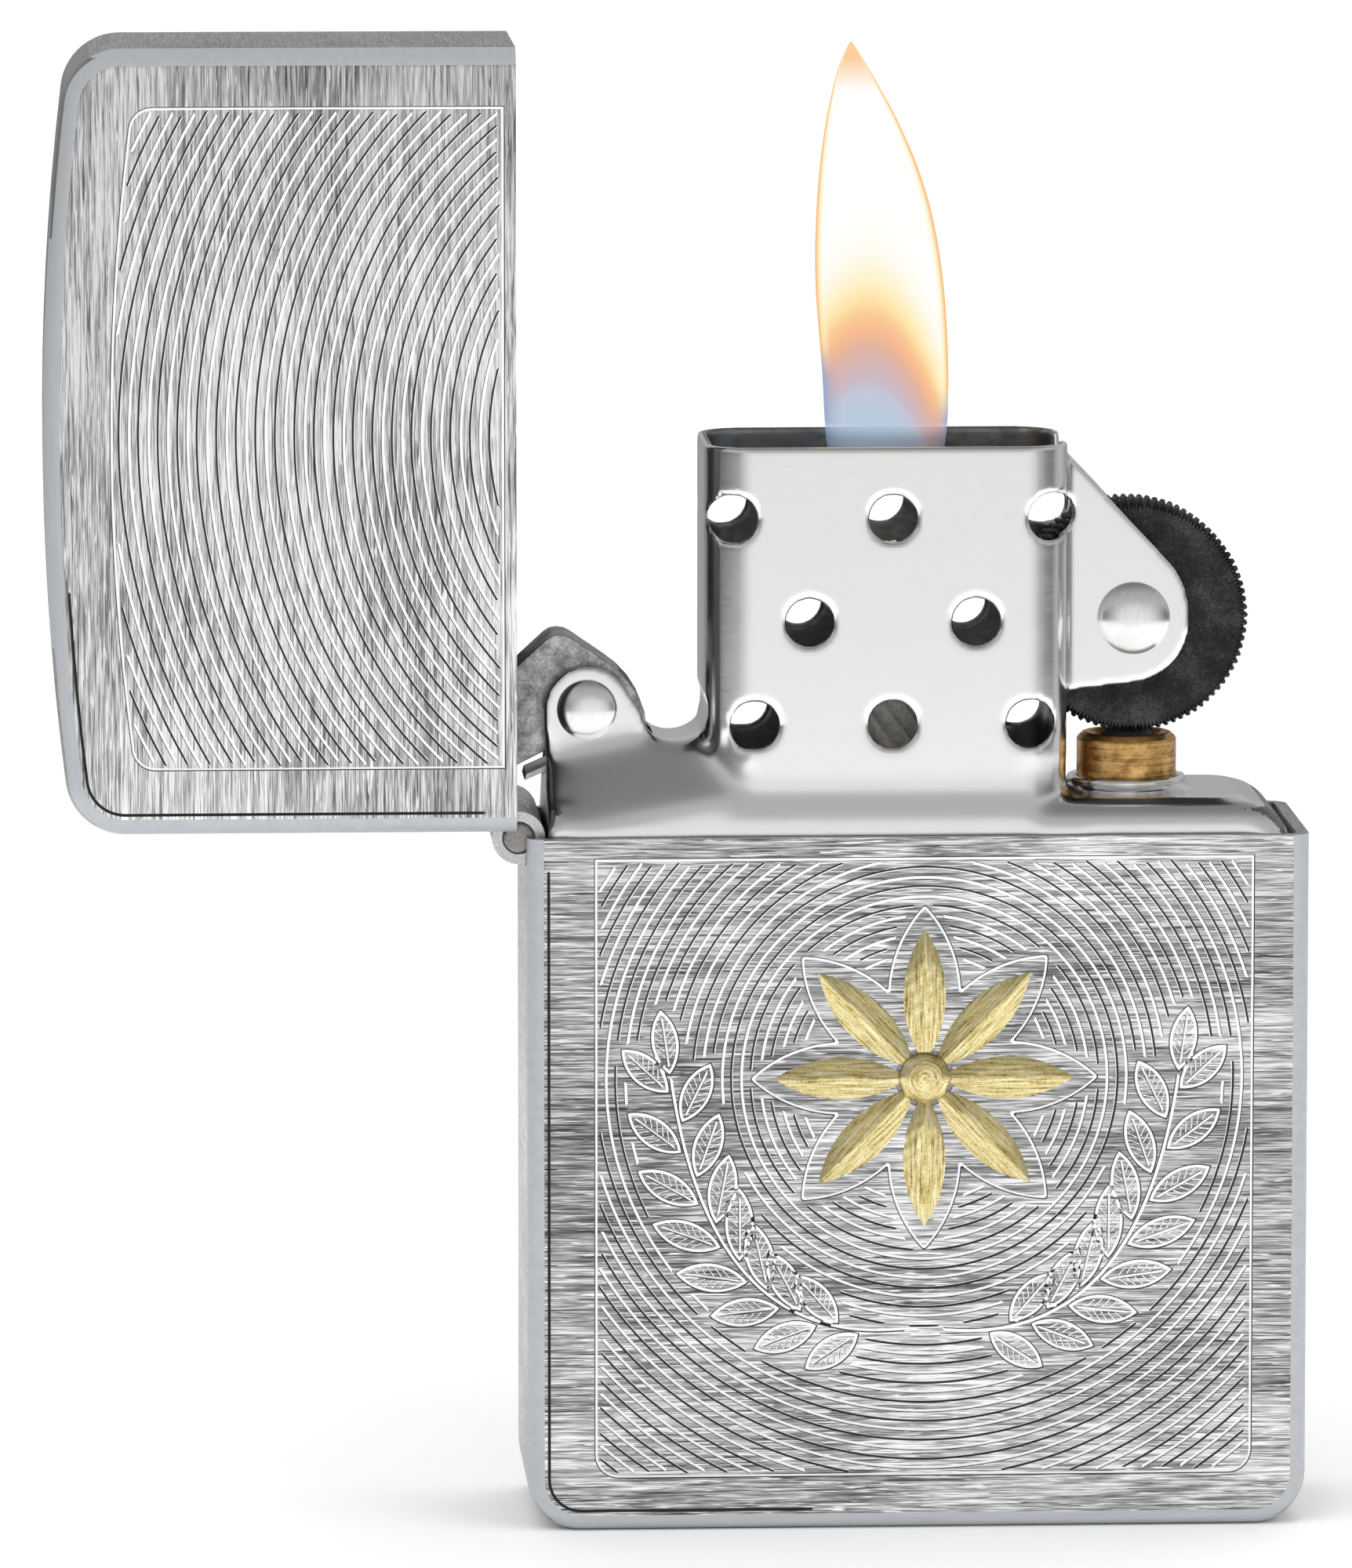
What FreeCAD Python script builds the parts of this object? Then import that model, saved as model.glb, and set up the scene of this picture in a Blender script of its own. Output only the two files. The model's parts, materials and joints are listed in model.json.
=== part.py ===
import FreeCAD, Part
import Sketcher
import math
import os
import re

# Flip-top windproof petrol lighter, standing on its case with the lid open.
# Frame: millimetres, origin at the centre of the case's flat resting face,
# +X to the right (wheel side), +Y to the back, +Z up.  The hinge is on the -X side.
# The lid is drawn closed and its Placement turns it open about the hinge pin.
# A sketch on the XZ plane faces -Y, so a positive offset brings it to the front.

os.makedirs("parts", exist_ok=True)
Vector = FreeCAD.Vector
doc = FreeCAD.newDocument("lighter")

# ---------------------------------------------------------------- dimensions
# alias, value, meaning
DIMENSIONS = [
    ("case_w", 38.1, "case width, X"),
    ("case_d", 12.7, "case depth, Y"),
    ("case_z", 34.1, "height of the case rim"),
    ("wall", 0.6, "case and lid sheet"),
    ("foot_r", 2.6, "corner radius at the foot, seen from the front"),
    ("edge_r", 0.95, "rounding between faces and sides"),
    ("lid_z0", 34.17, "lid rim when closed"),
    ("lid_z1", 55.65, "lid side height when closed, before the dome"),
    ("lid_rise", 1.35, "rise of the lid's domed top"),
    ("lid_r", 2.9, "corner radius of the lid's top"),
    ("pin_x", -19.41, "hinge axis X"),
    ("pin_z", 34.05, "hinge axis Z"),
    ("pin_r", 0.80, "hinge pin radius"),
    ("pin_bevel", 0.15, "chamfer of the hinge pin's ends"),
    ("knuckle_r", 1.29, "hinge knuckle outer radius"),
    ("knuckle_y", 2.0, "knuckle length"),
    ("knuckle_pitch", 2.05, "knuckle spacing"),
    ("hinge_half", 5.12, "half length of the hinge"),
    ("hinge_gap", 5.22, "half length of the wall notch for the hinge"),
    ("notch_z", 1.42, "depth of the wall notch below the axis"),
    ("leaf_t", 0.3, "hinge leaf sheet"),
    ("leaf_z", 7.0, "hinge leaf height"),
    ("tank_x0", -17.98, "insert end, hinge side"),
    ("tank_x1", 18.35, "insert end, wheel side"),
    ("tank_y", 5.5, "insert half depth"),
    ("tank_z0", 0.9, "insert bottom rim"),
    ("tank_foot_r", 2.2, "insert bottom corner radius"),
    ("shoulder_r", 2.6, "insert top corner radius, wheel side"),
    ("tank_edge_r", 1.25, "insert rounding between faces and ends"),
    ("hollow_z1", 32.7, "top of the insert's full-width hollow"),
    ("neck_y", 4.0, "half depth of the hollow above that"),
    ("hollow_r", 0.8, "corner radius of the hollows and the felt"),
    ("deck_z", 35.6, "insert deck"),
    ("sheet", 0.45, "insert sheet"),
    ("chim_x0", -10.32, "chimney, hinge side"),
    ("chim_x1", 7.42, "chimney, wheel side"),
    ("chim_y", 5.05, "chimney half depth"),
    ("chim_z0", 34.0, "start of the chimney, below the deck"),
    ("chim_z", 53.0, "chimney rim"),
    ("chim_r", 2.3, "chimney corner radius"),
    ("bore_z0", 36.15, "floor of the chimney bore"),
    ("hole_r", 1.165, "air hole radius"),
    ("hole_x", -1.22, "air hole pattern centre"),
    ("ear_y", 2.6, "outer face of the ears"),
    ("ear_t", 0.5, "ear sheet"),
    ("cam_x", -15.97, "cam pivot X"),
    ("cam_z", 39.98, "cam pivot Z"),
    ("cam_ear_r", 2.12, "cam ear radius"),
    ("cam_y", 1.85, "cam half width"),
    ("cam_t", 0.45, "cam sheet"),
    ("cam_pin_r", 0.75, "cam rivet shank"),
    ("cam_head_r", 1.47, "cam rivet head"),
    ("cam_head_t", 0.42, "cam rivet head thickness"),
    ("valley_x", -11.72, "round valley beside the chimney, X"),
    ("valley_z", 40.02, "round valley, Z"),
    ("valley_r", 1.6, "round valley radius"),
    ("wheel_x", 10.7, "wheel axis X"),
    ("wheel_z", 44.3, "wheel axis Z"),
    ("wheel_r", 5.7, "wheel radius over the teeth"),
    ("wheel_y", 1.85, "wheel half width"),
    ("wheel_bevel", 0.3, "wheel rim chamfer"),
    ("wheel_teeth", 90, "teeth round the wheel"),
    ("wheel_pin_r", 1.0, "wheel rivet shank"),
    ("wheel_head_r", 1.78, "wheel rivet head"),
    ("wheel_head_t", 0.5, "wheel rivet head thickness"),
    ("pivot_gap", 0.05, "radial play of cam and wheel on their rivets"),
    ("spring_rivet_x", -13.75, "cam spring rivet axis X"),
    ("spring_rivet_r", 0.55, "cam spring rivet shank"),
    ("leaf_y", 3.4, "cam spring width"),
    ("tube_x", 10.6, "flint tube axis X"),
    ("tube_r", 2.44, "flint tube collar radius"),
    ("tube_low_r", 2.05, "flint tube radius inside the tank"),
    ("tube_bore", 1.35, "flint tube bore"),
    ("tube_z0", 2.6, "flint tube foot"),
    ("tube_z1", 38.45, "flint tube top"),
    ("flint_r", 1.25, "flint radius"),
    ("flint_z0", 33.2, "flint bottom"),
    ("flint_z1", 38.55, "flint top, just under the wheel"),
    ("screw_z1", 8.6, "top of the flint screw shank"),
    ("spring_r", 1.02, "flint spring mean radius"),
    ("spring_wire", 0.17, "flint spring wire radius"),
    ("spring_turns", 14, "flint spring turns"),
    ("plunger_z0", 30.2, "bottom of the plunger spigot"),
    ("plunger_z1", 32.2, "plunger shoulder"),
    ("plunger_t", 0.8, "plunger flange below its shoulder"),
    ("wick_x", -1.3, "wick axis X"),
    ("wick_r", 2.1, "wick radius"),
    ("wick_z0", 5.0, "wick bottom"),
    ("wick_z1", 47.9, "wick top"),
    ("wick_tip_r", 1.2, "rounding of the wick's top"),
    ("wad_gap", 0.3, "wadding clearance above the felt and in depth"),
    ("wad_z1", 32.3, "wadding top"),
    ("felt_z0", 1.2, "felt pad underside"),
    ("felt_t", 2.0, "felt pad thickness"),
    ("felt_gap", 0.1, "felt clearance in the tank"),
    ("felt_hole_r", 3.0, "felt hole round the flint tube"),
    ("inlay_x", 0.27, "rosette centre X"),
    ("inlay_z", 22.3, "rosette centre Z"),
    ("inlay_n", 8, "rosette petals"),
    ("inlay_out", 0.10, "rosette standing proud of the face"),
    ("inlay_in", 0.20, "rosette recess"),
    ("disc_r", 1.45, "rosette disc radius"),
    ("petal_half", 1.02, "petal half width"),
    ("petal_root", 0.75, "petal inner point from the centre"),
    ("petal_tip", 7.3, "petal outer point from the centre"),
]
table = doc.addObject("Spreadsheet::Sheet", "Dimensions")
for row, (alias, value, note) in enumerate(DIMENSIONS, start=1):
    table.set(f"A{row}", alias)
    table.set(f"B{row}", str(value))
    table.set(f"C{row}", note)
    table.setAlias(f"B{row}", alias)
doc.recompute()
SIZE = {alias: float(getattr(table, alias)) for alias, _value, _note in DIMENSIONS}


# --------------------------------------------------------------- expressions
def bind(text):
    """Document expression: every alias in the text gets the spreadsheet's name."""
    def qualify(match):
        word = match.group(0)
        return "Dimensions." + word if word in SIZE else word
    return re.sub(r"[A-Za-z_][A-Za-z_0-9]*", qualify, str(text))


def value_of(text):
    """The same expression as a number; a number is returned as it is."""
    if isinstance(text, (int, float)):
        return float(text)
    result = table.evalExpression(bind(text))
    return float(getattr(result, "Value", result))


# ------------------------------------------------------------------ sketches
def new_body(name):
    body = doc.addObject("PartDesign::Body", name)
    body.Label = name
    return body


def new_sketch(body, plane, name, offset=None):
    """Sketch on the body's XY, XZ or YZ plane, moved along the plane's normal."""
    sketch = body.newObject("Sketcher::SketchObject", name)
    role = plane + "_Plane"
    support = [item for item in body.Origin.OriginFeatures if item.Role == role][0]
    sketch.AttachmentSupport = [(support, "")]
    sketch.MapMode = "FlatFace"
    if offset is not None:
        sketch.setExpression("AttachmentOffset.Base.z", bind(offset))
    return sketch


def constrain(sketch, constraint, text):
    """Add a constraint and bind it, unless it is a plain number."""
    index = sketch.addConstraint(constraint)
    if not isinstance(text, (int, float)):
        sketch.setExpression(f"Constraints[{index}]", bind(text))


def pin_point(sketch, geo, pos, x, y):
    """Hold a point of the sketch at two expressions."""
    for kind, text in (("DistanceX", x), ("DistanceY", y)):
        constrain(sketch, Sketcher.Constraint(kind, geo, pos, value_of(text)), text)


def polygon(sketch, points):
    """Closed polygon whose corners are expressions, in an empty sketch."""
    corners = [Vector(value_of(x), value_of(y), 0) for x, y in points]
    count = len(corners)
    for i in range(count):
        sketch.addGeometry(Part.LineSegment(corners[i], corners[(i + 1) % count]))
    for i in range(count):
        sketch.addConstraint(Sketcher.Constraint("Coincident", i, 2, (i + 1) % count, 1))
    for i, (x, y) in enumerate(points):
        pin_point(sketch, i, 1, x, y)


def rectangle(sketch, x0, x1, y0, y1):
    polygon(sketch, [(x0, y0), (x1, y0), (x1, y1), (x0, y1)])


def gable(sketch, rows):
    """Polygon symmetrical about the vertical axis: half width and height, upwards."""
    left = [(f"-({half})", z) for half, z in rows]
    polygon(sketch, left + list(reversed(rows)))


def circle(sketch, x, y, radius):
    size = value_of(radius)
    centre = Vector(value_of(x), value_of(y), 0)
    geo = sketch.addGeometry(Part.Circle(centre, Vector(0, 0, 1), size))
    pin_point(sketch, geo, 3, x, y)
    constrain(sketch, Sketcher.Constraint("Radius", geo, size), radius)


def outline(sketch, steps):
    """Closed outline in numbers: a start point, then one entry for each step.
    (x, y) is a line to that point; (via x, via y, x, y) is an arc over the via point.
    A line closes the outline if the last step ends elsewhere."""
    start = here = steps[0]
    for step in list(steps[1:]) + [start]:
        end = step[-2:]
        if end == here:
            continue
        points = [Vector(here[0], here[1], 0), Vector(end[0], end[1], 0)]
        if len(step) == 4:
            points.insert(1, Vector(step[0], step[1], 0))
            sketch.addGeometry(Part.Arc(*points))
        else:
            sketch.addGeometry(Part.LineSegment(*points))
        here = end


def rounded_rectangle(sketch, x0, x1, y0, y1, radius):
    x0, x1, y0, y1, r = (value_of(text) for text in (x0, x1, y0, y1, radius))
    k = r * (1 - math.sqrt(0.5))  # from the sharp corner's sides to the arc's middle
    outline(sketch, [
        (x0 + r, y0),
        (x1 - r, y0), (x1 - k, y0 + k, x1, y0 + r),
        (x1, y1 - r), (x1 - k, y1 - k, x1 - r, y1),
        (x0 + r, y1), (x0 + k, y1 - k, x0, y1 - r),
        (x0, y0 + r), (x0 + k, y0 + k, x0 + r, y0),
    ])


# ------------------------------------------------------------------ features
def extrude(body, kind, name, sketch, length, mid, reverse):
    """Pad or Pocket, which must change the volume the right way."""
    before = 0.0
    if body.Shape and not body.Shape.isNull():
        before = body.Shape.Volume
    feature = body.newObject("PartDesign::" + kind, name)
    feature.Profile = sketch
    feature.setExpression("Length", bind(length))
    if mid:
        feature.Midplane = True
    feature.Reversed = reverse
    sketch.Visibility = False
    doc.recompute()
    gain = body.Shape.Volume - before
    if (gain if kind == "Pad" else -gain) <= 1e-6:
        raise RuntimeError(f"{body.Name} {name} changed nothing")
    return feature


def pad(body, name, sketch, length, mid=False, reverse=False):
    return extrude(body, "Pad", name, sketch, length, mid, reverse)


def pocket(body, name, sketch, length, mid=False, reverse=False):
    return extrude(body, "Pocket", name, sketch, length, mid, reverse)


def revolve(body, name, sketch):
    feature = body.newObject("PartDesign::Revolution", name)
    feature.Profile = sketch
    feature.ReferenceAxis = (sketch, ["V_Axis"])
    feature.Angle = 360.0
    sketch.Visibility = False
    doc.recompute()


def polar(body, name, feature, axis_name, x, z, count, offset=None):
    """Repeat a feature round an axis along Y through x, z."""
    axis = new_sketch(body, "XZ", axis_name, offset)
    axis.setExpression("AttachmentOffset.Base.x", bind(x))
    axis.setExpression("AttachmentOffset.Base.y", bind(z))
    axis.addGeometry(Part.Circle(Vector(0, 0, 0), Vector(0, 0, 1), 0.5), True)
    doc.recompute()
    pattern = body.newObject("PartDesign::PolarPattern", name)
    pattern.Originals = [feature]
    pattern.Axis = (axis, ["N_Axis"])
    pattern.Angle = 360.0
    pattern.setExpression("Occurrences", bind(count))
    body.Tip = pattern
    doc.recompute()


def require_valid(feature):
    failed = "Invalid" in feature.State or "Error" in feature.State
    if failed or feature.Shape.isNull() or not feature.Shape.isValid():
        raise RuntimeError(feature.Name + " failed")


def fillet(body, name, base, test, radius, kind="Fillet"):
    """Fillet or Chamfer on the edges of the base that pass the test."""
    names = [f"Edge{i}" for i, edge in enumerate(base.Shape.Edges, start=1) if test(edge)]
    if not names:
        raise RuntimeError("no edges for " + name)
    feature = body.newObject("PartDesign::" + kind, name)
    feature.Base = (base, names)
    feature.setExpression("Radius" if kind == "Fillet" else "Size", bind(radius))
    doc.recompute()
    require_valid(feature)
    return feature


def hollow(body, name, base, rim_z, wall):
    """Shell the base inwards, open at its flat rim."""
    faces = [f"Face{i}" for i, face in enumerate(base.Shape.Faces, start=1)
             if in_plane(face, "Z", rim_z)]
    feature = body.newObject("PartDesign::Thickness", name)
    feature.Base = (base, faces)
    feature.setExpression("Value", bind(wall))
    feature.Reversed = True
    feature.Join = 0
    doc.recompute()
    require_valid(feature)


def near(a, b):
    return abs(a - b) < 1e-3


def in_plane(shape, axis, place):
    """Whether an edge or face lies wholly at one X, Y or Z."""
    box = shape.BoundBox
    number = value_of(place)
    return near(getattr(box, axis + "Min"), number) and near(getattr(box, axis + "Max"), number)


def on_broad_face(edge, half_depth):
    """Whether an edge lies on the front or the back face."""
    half = value_of(half_depth)
    return in_plane(edge, "Y", -half) or in_plane(edge, "Y", half)


# -------------------------------------------------------------- case and lid
def sheet_box(body, tag, block, corners, far_z, corner_r, rim_z, notch_z0, notch_z1):
    """Drawn sheet-metal box: corners rounded at the end away from the rim, broad
    faces rounded into the sides, hollowed from the rim, notched for the hinge."""
    rounded = fillet(body, f"{tag}_{corners}", block,
                     lambda e: in_plane(e, "Z", far_z) and e.BoundBox.YLength > 5, corner_r)
    edged = fillet(body, tag + "_edges", rounded,
                   lambda e: on_broad_face(e, "case_d/2") and not in_plane(e, "Z", rim_z),
                   "edge_r")
    hollow(body, tag + "_hollow", edged, rim_z, "wall")
    sketch = new_sketch(body, "XZ", tag + "_notch_side")
    rectangle(sketch, "-case_w/2-1", "-case_w/2+wall+0.05", notch_z0, notch_z1)
    pocket(body, tag + "_notch", sketch, "hinge_gap*2", mid=True)


def rosette(body, tag, make, offset, length):
    """Petals round a small disc, padded or pocketed on the front face."""
    sketch = new_sketch(body, "XZ", tag + "_disc_plan", offset)
    circle(sketch, "inlay_x", "inlay_z", "disc_r")
    make(body, tag + "_disc", sketch, length)
    # the first petal stands straight up: two arcs meeting in points
    x = SIZE["inlay_x"]
    root_z, tip_z, belly_z = (SIZE["inlay_z"] + value_of(text) for text in
                              ("petal_root", "petal_tip", "(petal_root+petal_tip)/2+0.35"))
    half = SIZE["petal_half"]
    sketch = new_sketch(body, "XZ", tag + "_petal_plan", offset)
    outline(sketch, [(x, root_z), (x + half, belly_z, x, tip_z), (x - half, belly_z, x, root_z)])
    petal = make(body, tag + "_petal", sketch, length)
    polar(body, tag + "_petals", petal, tag + "_axis", "inlay_x", "inlay_z", "inlay_n", offset)


def build_case():
    body = new_body("case_shell")
    sketch = new_sketch(body, "XY", "case_plan")
    rectangle(sketch, "-case_w/2", "case_w/2", "-case_d/2", "case_d/2")
    block = pad(body, "case_block", sketch, "case_z")
    sheet_box(body, "case", block, "foot", 0, "foot_r", "case_z", "pin_z-notch_z", "case_z+1")
    rosette(body, "recess", pocket, "case_d/2", "inlay_in")


def build_inlay():
    body = new_body("gilt_inlay")
    rosette(body, "inlay", pad, "case_d/2-inlay_in", "inlay_in+inlay_out")


def build_lid():
    body = new_body("lid_shell")
    half = SIZE["case_w"] / 2
    rim, side = SIZE["lid_z0"], SIZE["lid_z1"]
    sketch = new_sketch(body, "XZ", "lid_outline")
    outline(sketch, [(-half, rim), (half, rim), (half, side),
                     (0.0, side + SIZE["lid_rise"], -half, side)])
    block = pad(body, "lid_block", sketch, "case_d", mid=True)
    sheet_box(body, "lid", block, "corners", "lid_z1", "lid_r", "lid_z0",
              "lid_z0-1", "pin_z+notch_z")
    return body


# --------------------------------------------------------------------- hinge
def build_leaf(name, side, slots, bore):
    """Sheet leaf on the inner wall, below (-) or above (+) the hinge axis,
    with rolled knuckles at the given slots along Y."""
    body = new_body(name)
    sketch = new_sketch(body, "XZ", name + "_plate")
    rectangle(sketch, "-case_w/2+wall", "-case_w/2+wall+leaf_t",
              f"pin_z{side}(knuckle_r-0.1)", f"pin_z{side}leaf_z")
    pad(body, name + "_sheet", sketch, "hinge_half*2", mid=True)
    for i, slot in enumerate(slots):
        start = f"{slot}*knuckle_pitch-knuckle_y/2"
        sketch = new_sketch(body, "XZ", f"{name}_k{i}", start)
        circle(sketch, "pin_x", "pin_z", "knuckle_r")
        pad(body, f"{name}_knuckle{i}", sketch, "knuckle_y")
        sketch = new_sketch(body, "XZ", f"{name}_t{i}", start)
        rectangle(sketch, "pin_x+0.55", "-case_w/2+wall+leaf_t",
                  "pin_z", f"pin_z{side}(knuckle_r+0.09)")
        pad(body, f"{name}_tab{i}", sketch, "knuckle_y")
    sketch = new_sketch(body, "XZ", name + "_bore")
    circle(sketch, "pin_x", "pin_z", bore)
    pocket(body, name + "_eye", sketch, "hinge_half*3", mid=True)
    return body


def build_hinge_pin():
    body = new_body("hinge_pin")
    sketch = new_sketch(body, "XZ", "pin_plan")
    circle(sketch, "pin_x", "pin_z", "pin_r")
    rod = pad(body, "pin_rod", sketch, "hinge_half*2+0.1", mid=True)
    fillet(body, "pin_ends", rod, lambda e: e.Closed, "pin_bevel", "Chamfer")


def swing_open(bodies):
    """Quarter turn about the hinge, out to the -X side."""
    hinge = Vector(SIZE["pin_x"], 0, SIZE["pin_z"])
    turn = FreeCAD.Rotation(Vector(0, -1, 0), 90.0)
    for body in bodies:
        body.Placement = FreeCAD.Placement(Vector(0, 0, 0), turn, hinge)


# ---------------------------------------------------------------- the insert
SLOT_WIDTH = "(ear_y-ear_t)*2"  # between the inner faces of a pair of ears
EAR_BASE_Z = 36.0               # cam ears start here, inside the roof
CAM_EAR_X0, CAM_EAR_X1 = -17.93, -12.15
CAM_EAR_TANGENT = (0.878, 0.478)  # direction, X and Z, from pivot to the sloping edge
# X, Z of the wheel ears; an entry of four is an arc over its first point
WHEEL_EAR = [
    (6.2, SIZE["chim_z"]), (6.85, SIZE["chim_z"]), (12.33, 47.2),
    (13.22, 45.75, 13.42, SIZE["wheel_z"]), (12.72, 42.2, 10.75, 41.12), (6.2, 40.6),
]
# air hole rows: Z, then X offsets from the pattern's centre
AIR_HOLES = [
    (49.5, (-7.75, 0, 7.75)),
    (44.45, (-4.05, 4.05)),
    (39.45, (-6.7, 0, 6.7)),
]


def add_tank(body):
    sketch = new_sketch(body, "XY", "tank_plan", "tank_z0")
    rectangle(sketch, "tank_x0", "tank_x1", "-tank_y", "tank_y")
    tank = pad(body, "tank", sketch, "deck_z-tank_z0")
    tank = fillet(body, "tank_feet", tank,
                  lambda e: in_plane(e, "Z", "tank_z0")
                  and (in_plane(e, "X", "tank_x0") or in_plane(e, "X", "tank_x1")),
                  "tank_foot_r")
    tank = fillet(body, "tank_shoulder", tank,
                  lambda e: in_plane(e, "Z", "deck_z") and in_plane(e, "X", "tank_x1"),
                  "shoulder_r")
    fillet(body, "tank_edges", tank,
           lambda e: on_broad_face(e, "tank_y") and not in_plane(e, "Z", "tank_z0")
           and not in_plane(e, "X", "tank_x0"),
           "tank_edge_r")


def add_chimney(body):
    # sloping foot, running along X
    sketch = new_sketch(body, "YZ", "chimney_foot_side", -11.2)
    gable(sketch, [("tank_y", 33.5), ("tank_y", 34.85), ("chim_y", 36.2)])
    pad(body, "chimney_foot", sketch, 16.9)
    sketch = new_sketch(body, "XY", "chimney_plan", "chim_z0")
    rounded_rectangle(sketch, "chim_x0", "chim_x1", "-chim_y", "chim_y", "chim_r")
    pad(body, "chimney", sketch, "chim_z-chim_z0")


def add_ear_roof(body):
    """Roof falling from the cam ears to the tank's faces, rising to the chimney."""
    low = new_sketch(body, "YZ", "ramp_a", "tank_x0")
    gable(low, [("tank_y", 33.0), ("tank_y", 34.5), ("ear_y", 37.5)])
    high = new_sketch(body, "YZ", "ramp_b", -9.3)
    gable(high, [("tank_y-0.02", 33.0), ("tank_y-0.1", 36.0), ("ear_y", 39.1)])
    loft = body.newObject("PartDesign::AdditiveLoft", "ear_roof")
    loft.Profile = low
    loft.Sections = [high]
    loft.Ruled = True
    doc.recompute()


def add_ears(body):
    sketch = new_sketch(body, "XZ", "cam_ear_round")
    circle(sketch, "cam_x", "cam_z", "cam_ear_r")
    pad(body, "cam_ear_tip", sketch, "ear_y*2", mid=True)
    x, z, radius = SIZE["cam_x"], SIZE["cam_z"], SIZE["cam_ear_r"]
    sketch = new_sketch(body, "XZ", "cam_ear_side")
    outline(sketch, [
        (CAM_EAR_X0, EAR_BASE_Z), (x - radius, z),
        (x + radius * CAM_EAR_TANGENT[0], z + radius * CAM_EAR_TANGENT[1]),
        (CAM_EAR_X1, 38.05), (CAM_EAR_X1, EAR_BASE_Z),
    ])
    pad(body, "cam_ears", sketch, "ear_y*2", mid=True)
    sketch = new_sketch(body, "XZ", "wheel_ear_side")
    outline(sketch, WHEEL_EAR)
    pad(body, "wheel_ears", sketch, "ear_y*2", mid=True)


def add_tube_seat(body):
    """Raised pad and collar round the flint tube."""
    sketch = new_sketch(body, "XY", "deck_pad_plan", "deck_z-0.3")
    rounded_rectangle(sketch, 5.75, 16.1, -4.35, 4.35, 1.4)
    pad(body, "deck_pad", sketch, 0.42)
    sketch = new_sketch(body, "XY", "collar_plan", "deck_z-0.2")
    circle(sketch, "tube_x", 0, "tube_r+0.45")
    pad(body, "collar", sketch, 0.75)


def cut_hollows(body):
    # round valley between the cam ears and the chimney
    sketch = new_sketch(body, "XZ", "valley_side")
    circle(sketch, "valley_x", "valley_z", "valley_r")
    pocket(body, "valley", sketch, "ear_y*2+2", mid=True)
    # the tank is hollowed in two overlapping steps under the sloping roof
    sketch = new_sketch(body, "XY", "tank_hollow_plan", "tank_z0")
    rounded_rectangle(sketch, "tank_x0+sheet", "tank_x1-sheet",
                      "-tank_y+sheet", "tank_y-sheet", "hollow_r")
    pocket(body, "tank_hollow", sketch, "hollow_z1-tank_z0", reverse=True)
    sketch = new_sketch(body, "XY", "tank_neck_plan", "hollow_z1-0.2")
    rounded_rectangle(sketch, "tank_x0+sheet", 16.6, "-neck_y", "neck_y", "hollow_r")
    pocket(body, "tank_neck", sketch, "deck_z-sheet-(hollow_z1-0.2)", reverse=True)
    sketch = new_sketch(body, "XY", "chimney_bore_plan", "bore_z0")
    rounded_rectangle(sketch, "chim_x0+sheet", "chim_x1-sheet",
                      "-chim_y+sheet", "chim_y-sheet", "chim_r-sheet")
    pocket(body, "chimney_bore", sketch, 20, reverse=True)


def cut_slots(body):
    """Slots between the ears: X and Z limits of each."""
    for sketch_name, name, limits in (
            ("wheel_slot_side", "wheel_slot", (6.3, 15, 39.2, 54)),
            ("cam_slot_side", "cam_slot", (-18.6, -12.75, 36.4, 43)),
            ("valley_hollow_side", "valley_hollow", (-12.35, -9.5, "bore_z0", 37.85))):
        sketch = new_sketch(body, "XZ", sketch_name)
        rectangle(sketch, *limits)
        pocket(body, name, sketch, SLOT_WIDTH, mid=True)


def cut_holes(body):
    # air holes through both broad walls of the chimney
    sketch = new_sketch(body, "XZ", "air_hole_plan")
    for z, offsets in AIR_HOLES:
        for offset in offsets:
            circle(sketch, f"hole_x{offset:+g}", z, "hole_r")
    pocket(body, "air_holes", sketch, "chim_y*2+1", mid=True)
    sketch = new_sketch(body, "XY", "wick_hole_plan", 34.0)
    circle(sketch, "wick_x", 0, "wick_r+0.1")
    pocket(body, "wick_hole", sketch, 3, reverse=True)
    sketch = new_sketch(body, "XY", "tube_hole_plan", 33.0)
    circle(sketch, "tube_x", 0, "tube_low_r")
    pocket(body, "tube_hole", sketch, 4, reverse=True)
    sketch = new_sketch(body, "XZ", "rivet_hole_plan")
    circle(sketch, "cam_x", "cam_z", "cam_pin_r")
    circle(sketch, "wheel_x", "wheel_z", "wheel_pin_r")
    pocket(body, "rivet_holes", sketch, "ear_y*2+1", mid=True)
    sketch = new_sketch(body, "XY", "spring_rivet_plan", 34.0)
    circle(sketch, "spring_rivet_x", 0, "spring_rivet_r")
    pocket(body, "spring_rivet_hole", sketch, 3, reverse=True)


def build_insert():
    body = new_body("insert_shell")
    for step in (add_tank, add_chimney, add_ear_roof, add_ears, add_tube_seat,
                 cut_hollows, cut_slots, cut_holes):
        step(body)


# ------------------------------------------------------- cam, rivets, spring
# X, Z from the cam pivot
CAM_OUTLINE = [
    (-4.35, 0.55), (-4.35, 1.15), (-1.95, 3.37), (-1.66, 3.55), (-1.32, 3.6), (-0.98, 3.55),
    (-0.68, 3.40), (0.95, 2.28), (1.6, 1.78), (2.15, 1.18), (2.58, 0.5), (2.84, -0.2),
    (2.9, -0.75), (2.55, -1.2), (1.5, -1.72), (0.55, -1.98), (-0.6, -2.05), (-1.45, -2.05),
    (-2.07, -2.12), (-3.5, -2.84), (-4.2, -2.98), (-4.5, -2.6),
]
CAM_CHANNEL = [
    (-3.9, 0.93), (-1.62, 3.02), (-1.32, 3.1), (-1.02, 3.0), (0.62, 1.88), (1.2, 1.42),
    (3.4, 3.0), (3.4, -3.4), (-5.0, -3.6), (-3.9, 0.4),
]
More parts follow.
